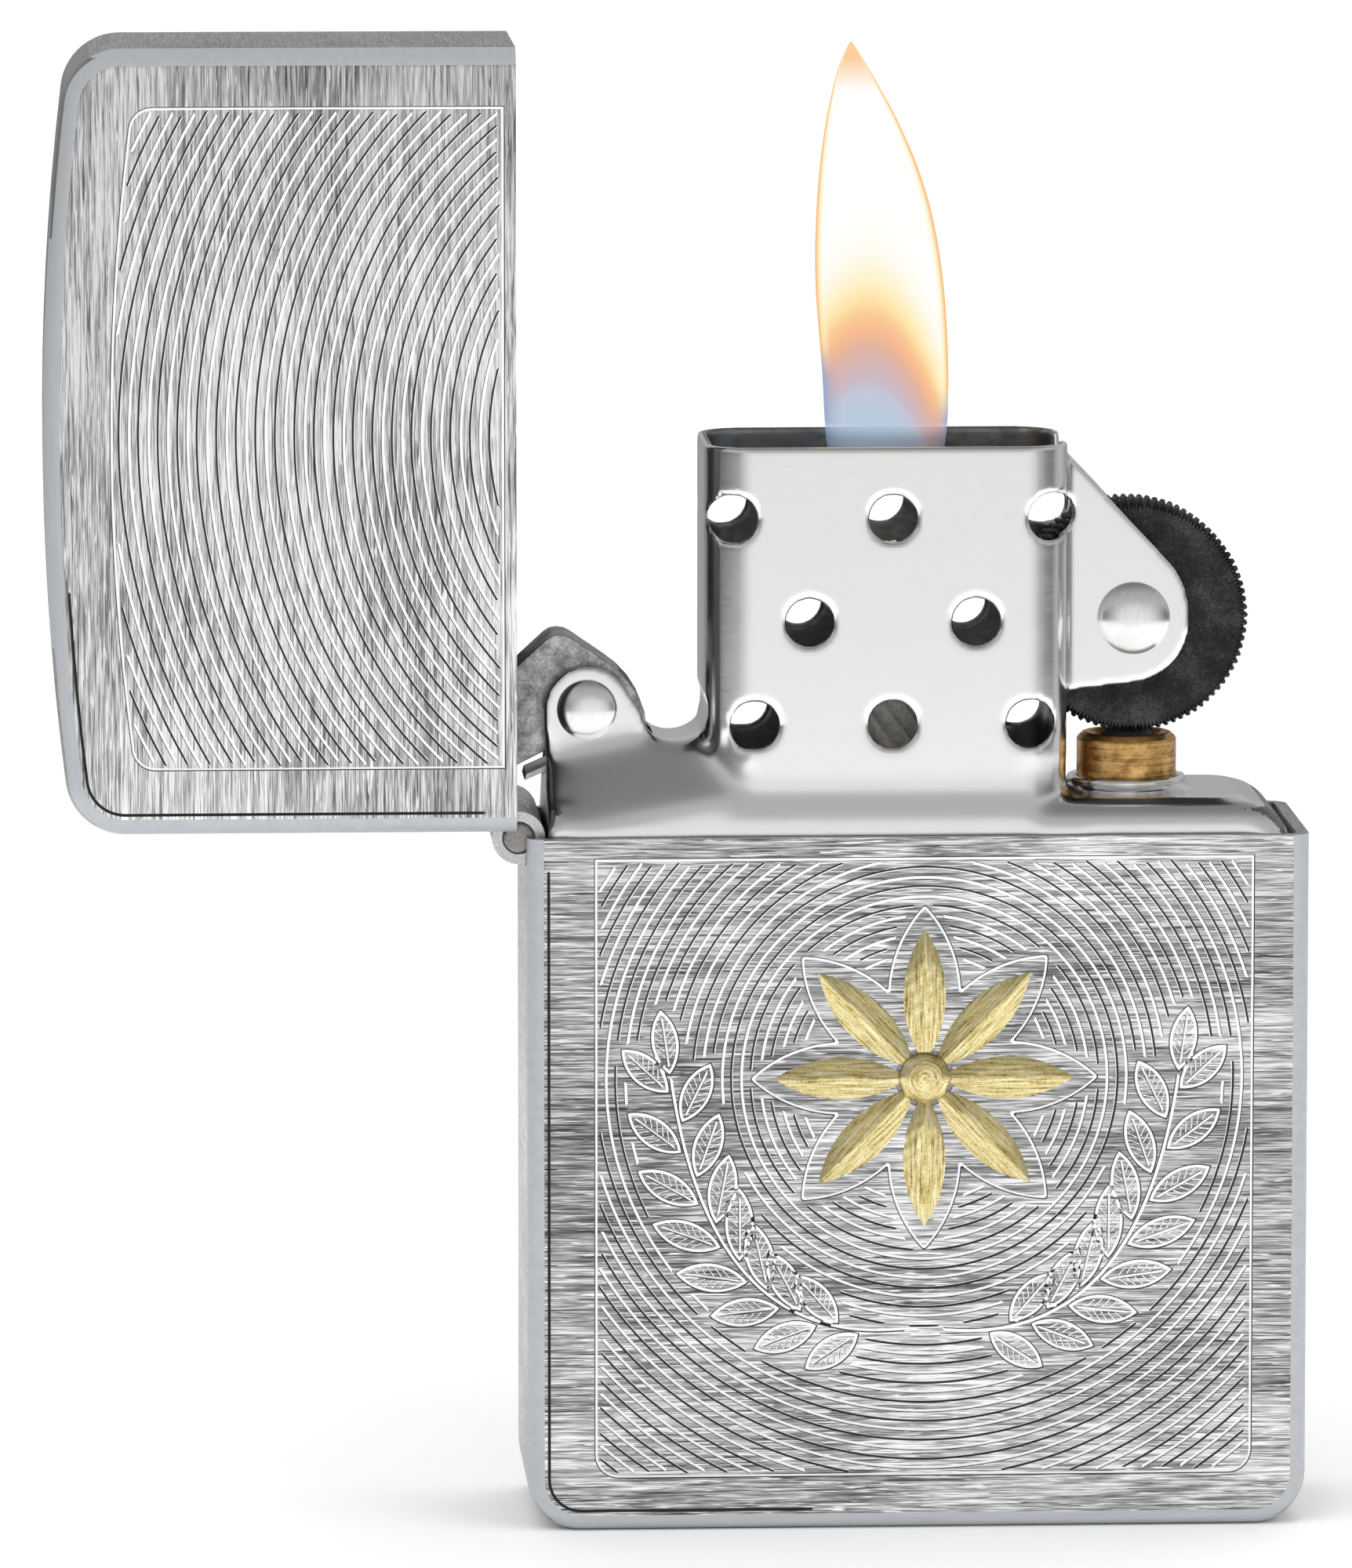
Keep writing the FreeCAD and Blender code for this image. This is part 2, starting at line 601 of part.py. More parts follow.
# X, Z of the bent leaf: upper side towards -X, then lower side back
CAM_SPRING = [
    (-12.95, 36.76), (-14.6, 36.76), (-15.3, 37.12), (-15.9, 37.6),
    (-16.45, 37.76), (-17.0, 37.62), (-17.8, 37.2), (-18.9, 36.72),
    (-18.98, 36.42), (-17.9, 36.88), (-17.1, 37.28), (-16.45, 37.42),
    (-15.98, 37.27), (-15.4, 36.76), (-14.7, 36.42), (-12.95, 36.42),
]
# radius, Z of the rivet: lower head, shank, domed upper head
SPRING_RIVET = [
    (0, 34.75), (0.95, 34.75), (0.95, 35.14), (SIZE["spring_rivet_r"], 35.14),
    (SIZE["spring_rivet_r"], 36.77), (1.0, 36.77), (0.95, 36.93), (0.75, 37.05), (0, 37.1),
]


def build_cam():
    """Folded sheet: two cheeks on the rivet, joined by a web along the upper edge
    from the -X end to past the rivet."""
    body = new_body("cam")
    x0, z0 = SIZE["cam_x"], SIZE["cam_z"]
    sketch = new_sketch(body, "XZ", "cam_side")
    outline(sketch, [(x0 + x, z0 + z) for x, z in CAM_OUTLINE])
    pad(body, "cam_block", sketch, "cam_y*2", mid=True)
    sketch = new_sketch(body, "XZ", "cam_channel_side")
    outline(sketch, [(x0 + x, z0 + z) for x, z in CAM_CHANNEL])
    pocket(body, "cam_channel", sketch, "(cam_y-cam_t)*2", mid=True)
    sketch = new_sketch(body, "XZ", "cam_eye_plan")
    circle(sketch, "cam_x", "cam_z", "cam_pin_r+pivot_gap")
    pocket(body, "cam_eye", sketch, "cam_y*2+1", mid=True)


def build_rivet(part):
    """Rivet along Y for the cam or the wheel, with a shallow domed head on each ear."""
    name = part + "_rivet"
    x, z, head_t = part + "_x", part + "_z", part + "_head_t"
    body = new_body(name)
    sketch = new_sketch(body, "XZ", name + "_shank_plan")
    circle(sketch, x, z, part + "_pin_r")
    pad(body, name + "_shank", sketch, "ear_y*2", mid=True)
    for i, side in enumerate((1, -1)):
        sketch = new_sketch(body, "XZ", f"{name}_head_plan{i}", f"{side}*ear_y")
        circle(sketch, x, z, part + "_head_r")
        head = pad(body, f"{name}_head{i}", sketch, head_t, reverse=(side < 0))
    fillet(body, name + "_domes", head,
           lambda e: e.Closed and on_broad_face(e, "ear_y+" + head_t), head_t + "*0.96")


def build_cam_spring():
    body = new_body("cam_spring")
    sketch = new_sketch(body, "XZ", "leaf_side")
    outline(sketch, CAM_SPRING)
    pad(body, "leaf", sketch, "leaf_y", mid=True)
    sketch = new_sketch(body, "XY", "leaf_hole_plan", 36.0)
    circle(sketch, "spring_rivet_x", 0, "spring_rivet_r")
    pocket(body, "leaf_hole", sketch, 2, reverse=True)


def build_cam_spring_rivet():
    body = new_body("cam_spring_rivet")
    sketch = new_sketch(body, "XZ", "spring_rivet_side")
    outline(sketch, SPRING_RIVET)
    revolve(body, "spring_rivet", sketch)
    body.Placement = FreeCAD.Placement(Vector(SIZE["spring_rivet_x"], 0, 0), FreeCAD.Rotation())


# --------------------------------------------------------------- flint wheel
def build_wheel():
    body = new_body("flint_wheel")
    sketch = new_sketch(body, "XZ", "wheel_plan")
    circle(sketch, "wheel_x", "wheel_z", "wheel_r")
    circle(sketch, "wheel_x", "wheel_z", "wheel_pin_r+pivot_gap")
    disc = pad(body, "wheel_disc", sketch, "wheel_y*2", mid=True)
    fillet(body, "wheel_rims", disc,
           lambda e: e.Closed and near(e.Curve.Radius, SIZE["wheel_r"]),
           "wheel_bevel", "Chamfer")
    # V-shaped gap at the wheel's top
    x, top = SIZE["wheel_x"], SIZE["wheel_z"] + SIZE["wheel_r"]
    half, over, depth = 0.14, 0.1, 0.24
    sketch = new_sketch(body, "XZ", "tooth_gap")
    outline(sketch, [(x - half, top + over), (x + half, top + over), (x, top - depth)])
    gap = pocket(body, "tooth", sketch, "wheel_y*2+1", mid=True)
    polar(body, "teeth", gap, "wheel_axis", "wheel_x", "wheel_z", "wheel_teeth")


# ------------------------------------------- turned parts on the tube's axis
# radius, Z
FLINT_TUBE = [
    ("tube_bore", "tube_z0"), ("tube_low_r", "tube_z0"), ("tube_low_r", "deck_z+0.55"),
    ("tube_r", "deck_z+0.55"), ("tube_r", "tube_z1-0.3"), ("tube_r-0.3", "tube_z1"),
    (1.95, "tube_z1"), ("tube_bore", "tube_z1-0.7"),
]
FLINT_SCREW = [
    (0, 1.05), (2.3, 1.05), (2.75, 1.3), (2.75, 2.1), (2.5, 2.35), ("tube_bore-0.04", 2.35),
    ("tube_bore-0.04", "screw_z1-0.5"), ("tube_bore-0.45", "screw_z1"), (0, "screw_z1"),
]
PLUNGER = [
    (0, "plunger_z0"), (0.4, "plunger_z0"), (0.4, "plunger_z1-plunger_t"),
    (1.22, "plunger_z1-plunger_t"), (1.22, "plunger_z1"),
    (0.95, "flint_z0-0.03"), (0, "flint_z0-0.03"),
]
FLINT = [
    (0, "flint_z0"), ("flint_r-0.12", "flint_z0"), ("flint_r", "flint_z0+0.12"),
    ("flint_r", "flint_z1-0.2"), ("flint_r-0.2", "flint_z1"), (0, "flint_z1"),
]


def build_turned(name, profile):
    body = new_body(name)
    sketch = new_sketch(body, "XZ", name + "_side")
    polygon(sketch, profile)
    revolve(body, name + "_turned", sketch)
    body.setExpression("Placement.Base.x", bind("tube_x"))
    doc.recompute()
    return body


def build_flint_screw():
    body = build_turned("flint_screw", FLINT_SCREW)
    sketch = new_sketch(body, "YZ", "driver_slot_side", 0)
    rectangle(sketch, -0.4, 0.4, 0.9, 1.75)
    pocket(body, "driver_slot", sketch, 8, mid=True)


def build_flint_spring():
    """Swept helix between the screw and the plunger's flange."""
    radius, wire = SIZE["spring_r"], SIZE["spring_wire"]
    clearance = 0.02
    z0 = SIZE["screw_z1"] + wire + clearance
    z1 = SIZE["plunger_z1"] - SIZE["plunger_t"] - wire - clearance
    helix = Part.makeLongHelix((z1 - z0) / SIZE["spring_turns"], z1 - z0, radius)
    profile = Part.Wire([Part.makeCircle(wire, Vector(radius, 0, 0), Vector(0, 1, 0))])
    spring = doc.addObject("Part::Feature", "flint_spring")
    spring.Label = "flint_spring"
    spring.Shape = Part.Wire(helix.Edges).makePipeShell([profile], True, True)
    spring.Placement = FreeCAD.Placement(Vector(SIZE["tube_x"], 0, z0), FreeCAD.Rotation())


# ---------------------------------------------------------- wick and packing
def build_wick():
    body = new_body("wick")
    sketch = new_sketch(body, "XY", "wick_plan", "wick_z0")
    circle(sketch, "wick_x", 0, "wick_r")
    cord = pad(body, "wick_cord", sketch, "wick_z1-wick_z0")
    fillet(body, "wick_tip", cord, lambda e: e.Closed and in_plane(e, "Z", "wick_z1"),
           "wick_tip_r")


def build_wadding():
    body = new_body("fuel_wadding")
    sketch = new_sketch(body, "XY", "wadding_plan", "felt_z0+felt_t+wad_gap")
    rounded_rectangle(sketch, "tank_x0+sheet+0.35", "tank_x1-sheet-0.35",
                      "-tank_y+sheet+wad_gap", "tank_y-sheet-wad_gap", 1.6)
    pad(body, "wadding", sketch, "wad_z1-felt_z0-felt_t-wad_gap")
    # ways for the flint tube and the wick
    sketch = new_sketch(body, "XY", "wadding_gaps", "felt_z0")
    circle(sketch, "tube_x", 0, "tube_low_r+0.25")
    circle(sketch, "wick_x", 0, "wick_r+0.15")
    ways = pocket(body, "wadding_ways", sketch, 40, reverse=True)
    fillet(body, "wadding_edges", ways,
           lambda e: in_plane(e, "Z", "wad_z1") and e.BoundBox.XLength > 25, 1.0)


def build_felt():
    body = new_body("felt_pad")
    sketch = new_sketch(body, "XY", "felt_plan", "felt_z0")
    rounded_rectangle(sketch, "tank_x0+sheet+felt_gap", "tank_x1-sheet-felt_gap",
                      "-tank_y+sheet+felt_gap", "tank_y-sheet-felt_gap", "hollow_r")
    pad(body, "felt", sketch, "felt_t")
    sketch = new_sketch(body, "XY", "felt_hole_plan", "felt_z0")
    circle(sketch, "tube_x", 0, "felt_hole_r")
    pocket(body, "felt_hole", sketch, 4, reverse=True)


# --------------------------------------------------------------------- build
build_case()
build_inlay()
lid = build_lid()
build_leaf("case_hinge_leaf", "-", (-2, 0, 2), "pin_r")
lid_leaf = build_leaf("lid_hinge_leaf", "+", (-1, 1), "pin_r+0.03")
build_hinge_pin()
swing_open([lid, lid_leaf])
build_insert()
build_cam()
build_rivet("cam")
build_rivet("wheel")
build_cam_spring()
build_cam_spring_rivet()
build_wheel()
build_turned("flint_tube", FLINT_TUBE)
build_flint_screw()
build_turned("spring_plunger", PLUNGER)
build_turned("flint", FLINT)
build_flint_spring()
build_wick()
build_wadding()
build_felt()
doc.recompute()

# -------------------------------------------------------------------- output
PIECES = [
    "case_shell", "case_hinge_leaf", "hinge_pin", "gilt_inlay", "lid_shell", "lid_hinge_leaf",
    "insert_shell", "flint_tube", "wheel_rivet", "cam_rivet", "cam_spring", "cam_spring_rivet",
    "wick", "fuel_wadding", "felt_pad", "flint_spring", "cam", "flint_wheel", "flint",
    "spring_plunger", "flint_screw",
]
failed = [item.Name for item in doc.Objects if "Invalid" in item.State or "Error" in item.State]
if failed:
    raise RuntimeError("failed objects: " + ", ".join(failed))
for name in PIECES:
    shape = doc.getObject(name).Shape
    if shape.isNull() or not shape.isValid() or not shape.Solids:
        raise RuntimeError("bad shape: " + name)
for name in PIECES:
    doc.getObject(name).Shape.exportStep(f"parts/{name}.step")
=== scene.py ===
import json
import math
import random

import bmesh
import bpy
import numpy as np
from mathutils import Matrix, Vector
from mathutils.geometry import delaunay_2d_cdt

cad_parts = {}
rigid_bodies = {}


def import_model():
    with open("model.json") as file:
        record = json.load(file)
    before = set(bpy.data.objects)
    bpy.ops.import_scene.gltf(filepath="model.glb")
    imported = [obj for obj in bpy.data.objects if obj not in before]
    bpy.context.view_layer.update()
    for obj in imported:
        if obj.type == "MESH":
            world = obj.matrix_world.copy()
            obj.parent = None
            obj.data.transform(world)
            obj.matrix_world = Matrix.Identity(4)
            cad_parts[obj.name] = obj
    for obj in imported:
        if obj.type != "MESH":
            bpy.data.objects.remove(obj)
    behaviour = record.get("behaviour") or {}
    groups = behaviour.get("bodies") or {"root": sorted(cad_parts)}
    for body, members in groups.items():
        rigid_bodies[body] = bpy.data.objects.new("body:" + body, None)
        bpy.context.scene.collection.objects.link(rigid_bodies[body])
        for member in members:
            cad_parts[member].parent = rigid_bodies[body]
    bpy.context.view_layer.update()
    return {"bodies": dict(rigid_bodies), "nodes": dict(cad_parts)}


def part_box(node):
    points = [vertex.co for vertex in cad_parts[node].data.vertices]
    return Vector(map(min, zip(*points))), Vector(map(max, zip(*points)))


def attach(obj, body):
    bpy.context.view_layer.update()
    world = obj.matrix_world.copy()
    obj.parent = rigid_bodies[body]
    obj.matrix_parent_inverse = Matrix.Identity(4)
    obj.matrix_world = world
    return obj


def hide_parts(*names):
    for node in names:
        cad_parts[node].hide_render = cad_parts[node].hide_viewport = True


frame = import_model()


MM = 0.001
rng = np.random.default_rng(7)

RING_C = (0.27, 22.3)          # centre of the engraved rings in closed coordinates, shared by case and lid

# lengths in this script are millimetres in the row frame unless they end in _m
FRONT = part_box("case_shell")[0].y / MM
HX = (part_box("hinge_pin")[0].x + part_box("hinge_pin")[1].x) / 2 / MM
HZ = (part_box("hinge_pin")[0].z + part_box("hinge_pin")[1].z) / 2 / MM


# --------------------------------------------------------------- node helpers
class Mat:
    """A node material under construction."""

    def __init__(self, name):
        self.m = bpy.data.materials.new(name)
        self.m.use_nodes = True
        self.nt = self.m.node_tree
        self.nt.nodes.clear()
        self.out = self.node("ShaderNodeOutputMaterial")
        self.bsdf = self.node("ShaderNodeBsdfPrincipled")
        self.link(self.bsdf, "BSDF", self.out, "Surface")
        self.tc = self.node("ShaderNodeTexCoord")

    def node(self, kind, **kw):
        n = self.nt.nodes.new(kind)
        for k, v in kw.items():
            if k in n.inputs:
                n.inputs[k].default_value = v
            else:
                setattr(n, k, v)
        return n

    def link(self, a, ao, b, bi):
        self.nt.links.new(a.outputs[ao], b.inputs[bi])

    def set(self, **kw):
        for k, v in kw.items():
            key = k.replace("_", " ")
            if key in self.bsdf.inputs:
                self.bsdf.inputs[key].default_value = v
        return self

    def coords(self, per_mm, rot=(0, 0, 0)):
        """Object coordinates scaled so that one unit is 1/per_mm millimetres on each axis."""
        mp = self.node("ShaderNodeMapping")
        mp.inputs["Scale"].default_value = tuple(1000.0 * s for s in per_mm)
        mp.inputs["Rotation"].default_value = rot
        self.link(self.tc, "Object", mp, "Vector")
        return mp

    def noise(self, per_mm, detail=2.0, rough=0.5, rot=(0, 0, 0), dist=0.0):
        mp = self.coords(per_mm, rot)
        n = self.node("ShaderNodeTexNoise", Scale=1.0, Detail=detail, Roughness=rough, Distortion=dist)
        self.link(mp, "Vector", n, "Vector")
        return n

    def math(self, op, a, b=None, ao=0, bo=0, clamp=False):
        n = self.node("ShaderNodeMath", operation=op)
        n.use_clamp = clamp
        for i, (v, o) in enumerate(((a, ao), (b, bo))):
            if v is None:
                continue
            if isinstance(v, (int, float)):
                n.inputs[i].default_value = v
            else:
                self.nt.links.new(v.outputs[o], n.inputs[i])
        return n

    def ramp(self, src, stops, out="Value", interp="LINEAR"):
        n = self.node("ShaderNodeValToRGB")
        cr = n.color_ramp
        cr.interpolation = interp
        while len(cr.elements) < len(stops):
            cr.elements.new(0.5)
        for e, (p, c) in zip(cr.elements, stops):
            e.position = p
            e.color = (c, c, c, 1) if isinstance(c, (int, float)) else (*c, 1)
        self.nt.links.new(src.outputs[out] if out in src.outputs else src.outputs[0], n.inputs[0])
        return n

    def mix(self, fac, a, b, mode="MIX"):
        n = self.node("ShaderNodeMix", data_type="RGBA", blend_type=mode)
        for sock, v in ((n.inputs[0], fac), (n.inputs[6], a), (n.inputs[7], b)):
            if isinstance(v, (int, float)):
                sock.default_value = v if sock.type == "VALUE" else (v, v, v, 1)
            elif isinstance(v, tuple):
                sock.default_value = (*v, 1)
            else:
                o = v.outputs[2] if v.bl_idname == "ShaderNodeMix" else v.outputs[0]
                self.nt.links.new(o, sock)
        return n

    def color(self, src):
        o = src.outputs[2] if src.bl_idname == "ShaderNodeMix" else src.outputs[0]
        self.nt.links.new(o, self.bsdf.inputs["Base Color"])

    def rough(self, src):
        self.nt.links.new(src.outputs[0], self.bsdf.inputs["Roughness"])

    def bump(self, src, strength, dist_mm, out=0):
        n = self.node("ShaderNodeBump", Strength=strength, Distance=dist_mm * MM)
        self.nt.links.new(src.outputs[out], n.inputs["Height"])
        self.nt.links.new(n.outputs[0], self.bsdf.inputs["Normal"])
        return n


def streaks(name, along, dark, mid, light, rough=(0.28, 0.42), painted_glints=True, tint=(1.0, 1.0, 1.0), contrast=1.0, painted_fan=None):
    """Brushed metal: fine scratches running along one axis, in three widths, with sparse bright streaks painted into
    the colour as highlights.
    """
    k = Mat(name)
    k.set(Metallic=1.0)

    def sc(long, wide):
        v = [wide, wide, wide]
        v["XYZ".index(along)] = long
        return tuple(v)
    fine = k.noise(sc(0.50, 19.0), 2.5, 0.65)
    mids = k.noise(sc(0.24, 7.5), 2.0, 0.6)
    cloud = k.noise(sc(0.06, 0.22), 2.0, 0.5)
    a = k.math("MULTIPLY", fine, 0.50)
    b = k.math("MULTIPLY", mids, 0.30)
    c = k.math("MULTIPLY", cloud, 0.20)
    total = k.math("ADD", k.math("ADD", a, b), c)
    half = 0.15 / contrast
    col = k.ramp(total, [(0.5 - half, dark), (0.5, mid), (0.5 + half, light)])
    # painted highlight: sparse streaks of the colour are lifted to near white
    if painted_glints:
        g = k.noise(sc(0.70, 13.0), 1.0, 0.5)
        glint_paint_mask = k.ramp(g, [(0.64, 0.0), (0.71, 1.0)])
        col = k.mix(glint_paint_mask, col, (0.97, 0.97, 0.97))
    if painted_fan:
        # painted highlight and shade: the colour is brightened and darkened in wide sectors about the ring centre,
        # where turned rings catch the light
        sep = k.node("ShaderNodeSeparateXYZ")
        k.link(k.tc, "Object", sep, "Vector")
        dx = k.math("SUBTRACT", sep, painted_fan[0] * MM, ao=0)
        dz = k.math("SUBTRACT", sep, painted_fan[1] * MM, ao=2)
        ang = k.math("ARCTAN2", dz, dx)
        wave = k.math("SINE", k.math("ADD", k.math("MULTIPLY", ang, 2.0), painted_fan[2]))
        wav2 = k.math("SINE", k.math("ADD", k.math("MULTIPLY", ang, 7.0), 0.6))
        w = k.math("ADD", k.math("MULTIPLY", wave, painted_fan[3]), k.math("MULTIPLY", wav2, 0.07))
        fan_paint_gain = k.math("ADD", w, 0.98)
        col = k.mix(1.0, col, fan_paint_gain, "MULTIPLY")
    if tint != (1.0, 1.0, 1.0):
        col = k.mix(1.0, col, tint, "MULTIPLY")
    k.color(col)
    r = k.ramp(total, [(0.36, rough[1]), (0.64, rough[0])])
    k.rough(r)
    k.bump(total, 0.35, 0.012)
    return k.m


def painted_edge_band(name, along):
    """The rounded band where sheet metal is rolled over between face and side, in a flat blue-grey that paints the
    even reflection such a band shows.
    """
    k = Mat(name)
    k.set(Metallic=0.55)
    v = [3.0, 3.0, 3.0]
    v["XYZ".index(along)] = 0.3
    n = k.noise(tuple(v), 2.0, 0.5)
    fine = k.noise((12.0, 12.0, 12.0), 2.0, 0.5)
    t = k.math("ADD", k.math("MULTIPLY", n, 0.7), k.math("MULTIPLY", fine, 0.3))
    # painted reflection: a narrow, flat blue-grey range instead of the face's brushed streaks
    k.color(k.ramp(t, [(0.35, (0.485, 0.503, 0.522)), (0.65, (0.525, 0.543, 0.562))]))
    k.rough(k.ramp(t, [(0.3, 0.55), (0.7, 0.45)]))
    k.bump(fine, 0.08, 0.006)
    return k.m


def painted_cut_facet(name, base, rough, metal=0.25, low=0.82):
    """Flat-coloured flank of an engraved line with fine grain; its copies paint the highlight and the shade that the
    flanks of a cut show.
    """
    k = Mat(name)
    k.set(Metallic=metal)
    n = k.noise((14.0, 14.0, 14.0), 2.0, 0.6)
    k.color(k.ramp(n, [(0.3, tuple(c * low for c in base)), (0.7, base)]))
    k.rough(k.ramp(n, [(0.3, rough + 0.12), (0.7, rough)]))
    k.bump(n, 0.2, 0.01)
    return k.m


def polished(name, base, rough, speck=0.05, grain=None, bump=0.02, metal=1.0):
    """Smooth metal with faint cloudiness, fine rubbing marks and a trace of surface waviness."""
    k = Mat(name)
    k.set(Metallic=metal)
    cloud = k.noise((0.35, 0.35, 0.35), 3.0, 0.6)
    fine = k.noise(grain or (9.0, 9.0, 1.2), 2.0, 0.6)
    dark = tuple(max(0.0, c - speck * 2.2) for c in base)
    lite = tuple(min(1.0, c + speck) for c in base)
    total = k.math("ADD", k.math("MULTIPLY", cloud, 0.6), k.math("MULTIPLY", fine, 0.4))
    k.color(k.ramp(total, [(0.32, dark), (0.5, base), (0.7, lite)]))
    k.rough(k.ramp(total, [(0.3, rough * 1.5), (0.7, rough * 0.8)]))
    k.bump(total, 0.2, bump)
    return k.m


# ------------------------------------------------------------------ materials
M = {}
# painted light: the lid's copy of the brushed steel is lighter than the case's, for the brighter light the lid
# catches
M["case"] = streaks("case_brushed", "X", 0.08, 0.38, 0.92, contrast=1.5, painted_fan=(0.27, 22.3, -1.3, 0.12))
M["lid"] = streaks("lid_brushed", "Z", 0.13, 0.54, 1.0, contrast=1.45, painted_fan=(-7.66, 53.73, 1.57, 0.15))
M["case_side"] = streaks("case_side_brushed", "Y", 0.26, 0.42, 0.64, painted_glints=False)
M["case_edge"] = painted_edge_band("case_rounded_edges", "X")
M["lid_edge"] = painted_edge_band("lid_rounded_edges", "Z")
M["case_in"] = streaks("case_inside", "Z", 0.30, 0.42, 0.55, rough=(0.35, 0.5), painted_glints=False)
# painted highlight and painted shade: the engraved flanks take a near-white and a near-black copy of one cut material
M["cut_light"] = painted_cut_facet("engraved_bright", (0.97, 0.98, 0.99), 0.5, 0.0, 0.93)
M["cut_dark"] = painted_cut_facet("engraved_dark", (0.020, 0.021, 0.023), 0.6)
M["insert"] = polished("insert_polished", (0.86, 0.86, 0.855), 0.16, 0.012, grain=(1.0, 1.0, 11.0), bump=0.003)
# painted shade: the inside of the chimney and tank is a dark copy of the insert steel
M["insert_in"] = polished("chimney_inside_painted_shade", (0.26, 0.26, 0.26), 0.30, 0.06, grain=(1.5, 1.5, 3.0), bump=0.02)
M["rivet"] = polished("rivet_polished", (0.84, 0.84, 0.83), 0.17, 0.04, bump=0.01)
M["spring"] = polished("spring_steel", (0.55, 0.55, 0.56), 0.30, 0.05)
M["hinge"] = streaks("hinge_steel", "Y", 0.40, 0.55, 0.75, rough=(0.25, 0.4), painted_glints=False)
M["pin"] = polished("pin_end", (0.34, 0.33, 0.32), 0.45, 0.08, grain=(6, 6, 6), bump=0.05)
M["brass"] = polished("plunger_brass", (0.60, 0.42, 0.20), 0.3, 0.05)


def cam_material():
    k = Mat("cam_tumbled")
    k.set(Metallic=1.0)
    patch = k.noise((1.1, 1.1, 1.1), 5.0, 0.62)
    fine = k.noise((7.0, 7.0, 7.0), 3.0, 0.6)
    t = k.math("ADD", k.math("MULTIPLY", patch, 0.65), k.math("MULTIPLY", fine, 0.35))
    k.color(k.ramp(t, [(0.40, (0.24, 0.24, 0.245)), (0.50, (0.36, 0.36, 0.365)), (0.62, (0.56, 0.56, 0.56))]))
    k.rough(k.ramp(t, [(0.4, 0.5), (0.6, 0.36)]))
    k.bump(t, 0.35, 0.03)
    return k.m


def brass_material():
    """Turned brass, browned, with machining lines round the tube and darker stains."""
    k = Mat("tube_brass")
    k.set(Metallic=1.0)
    lines = k.noise((0.25, 0.25, 14.0), 2.0, 0.6)
    stain = k.noise((0.9, 0.9, 1.3), 4.0, 0.65)
    t = k.math("ADD", k.math("MULTIPLY", lines, 0.35), k.math("MULTIPLY", stain, 0.65))
    k.color(k.ramp(t, [(0.34, (0.10, 0.055, 0.02)), (0.44, (0.36, 0.19, 0.065)), (0.53, (0.62, 0.37, 0.13)), (0.66, (0.80, 0.53, 0.22))]))
    k.rough(k.ramp(t, [(0.35, 0.5), (0.65, 0.24)]))
    k.bump(lines, 0.4, 0.012)
    return k.m


def wheel_material(name, side):
    """Blackened hard steel, a little greyer where the teeth are worn."""
    k = Mat(name)
    k.set(Metallic=0.55)
    k.bsdf.inputs["Specular IOR Level"].default_value = 0.4
    fine = k.noise((8.0, 8.0, 8.0), 4.0, 0.65)
    patch = k.noise((0.7, 0.7, 0.7), 3.0, 0.6)
    t = k.math("ADD", k.math("MULTIPLY", fine, 0.5), k.math("MULTIPLY", patch, 0.5))
    k.color(k.ramp(t, [(0.36, (0.010, 0.010, 0.010)), (0.50, (0.026, 0.026, 0.027)), (0.66, (0.075, 0.075, 0.075))]))
    k.rough(k.ramp(t, [(0.35, 0.62), (0.65, 0.42)]))
    if side:
        sep = k.node("ShaderNodeSeparateXYZ")
        k.link(k.tc, "Object", sep, "Vector")
        dx = k.math("SUBTRACT", sep, WX * MM, ao=0)
        dz = k.math("SUBTRACT", sep, WZ * MM, ao=2)
        r = k.math("SQRT", k.math("ADD", k.math("MULTIPLY", dx, dx), k.math("MULTIPLY", dz, dz)))
        ring = k.math("SINE", k.math("MULTIPLY", r, 1000.0 * 2 * math.pi / 0.17))
        total = k.math("ADD", k.math("MULTIPLY", ring, 0.35), fine)
        k.bump(total, 0.45, 0.02)
    else:
        k.bump(t, 0.5, 0.03)
    return k.m


def gilt_material():
    """Gold leaf over chased metal: fine strokes running the length of each petal."""
    k = Mat("gilt_petals")
    k.set(Metallic=1.0)
    at = k.node("ShaderNodeAttribute", attribute_name="lay")
    mp = k.node("ShaderNodeMapping")
    mp.inputs["Scale"].default_value = (0.55, 8.5, 1.0)
    k.link(at, "Vector", mp, "Vector")
    stroke = k.node("ShaderNodeTexNoise", Scale=1.0, Detail=3.0, Roughness=0.65)
    k.link(mp, "Vector", stroke, "Vector")
    fine = k.noise((9.0, 9.0, 9.0), 3.0, 0.6)
    t = k.math("ADD", k.math("MULTIPLY", stroke, 0.72), k.math("MULTIPLY", fine, 0.28))
    k.color(k.ramp(t, [(0.36, (0.24, 0.18, 0.045)), (0.45, (0.62, 0.50, 0.20)), (0.53, (0.80, 0.69, 0.35)), (0.64, (0.97, 0.92, 0.66))]))
    k.rough(k.ramp(t, [(0.35, 0.40), (0.65, 0.20)]))
    k.bump(t, 0.5, 0.02)
    return k.m


def cloth_material(name, dark, light, cell):
    k = Mat(name)
    k.set(Metallic=0.0, Roughness=0.95)
    k.bsdf.inputs["Sheen Weight"].default_value = 0.4
    f = k.noise((cell, cell, cell), 5.0, 0.7)
    k.color(k.ramp(f, [(0.32, dark), (0.68, light)]))
    k.rough(k.ramp(f, [(0.3, 0.98), (0.7, 0.85)]))
    k.bump(f, 0.8, 0.12)
    return k.m


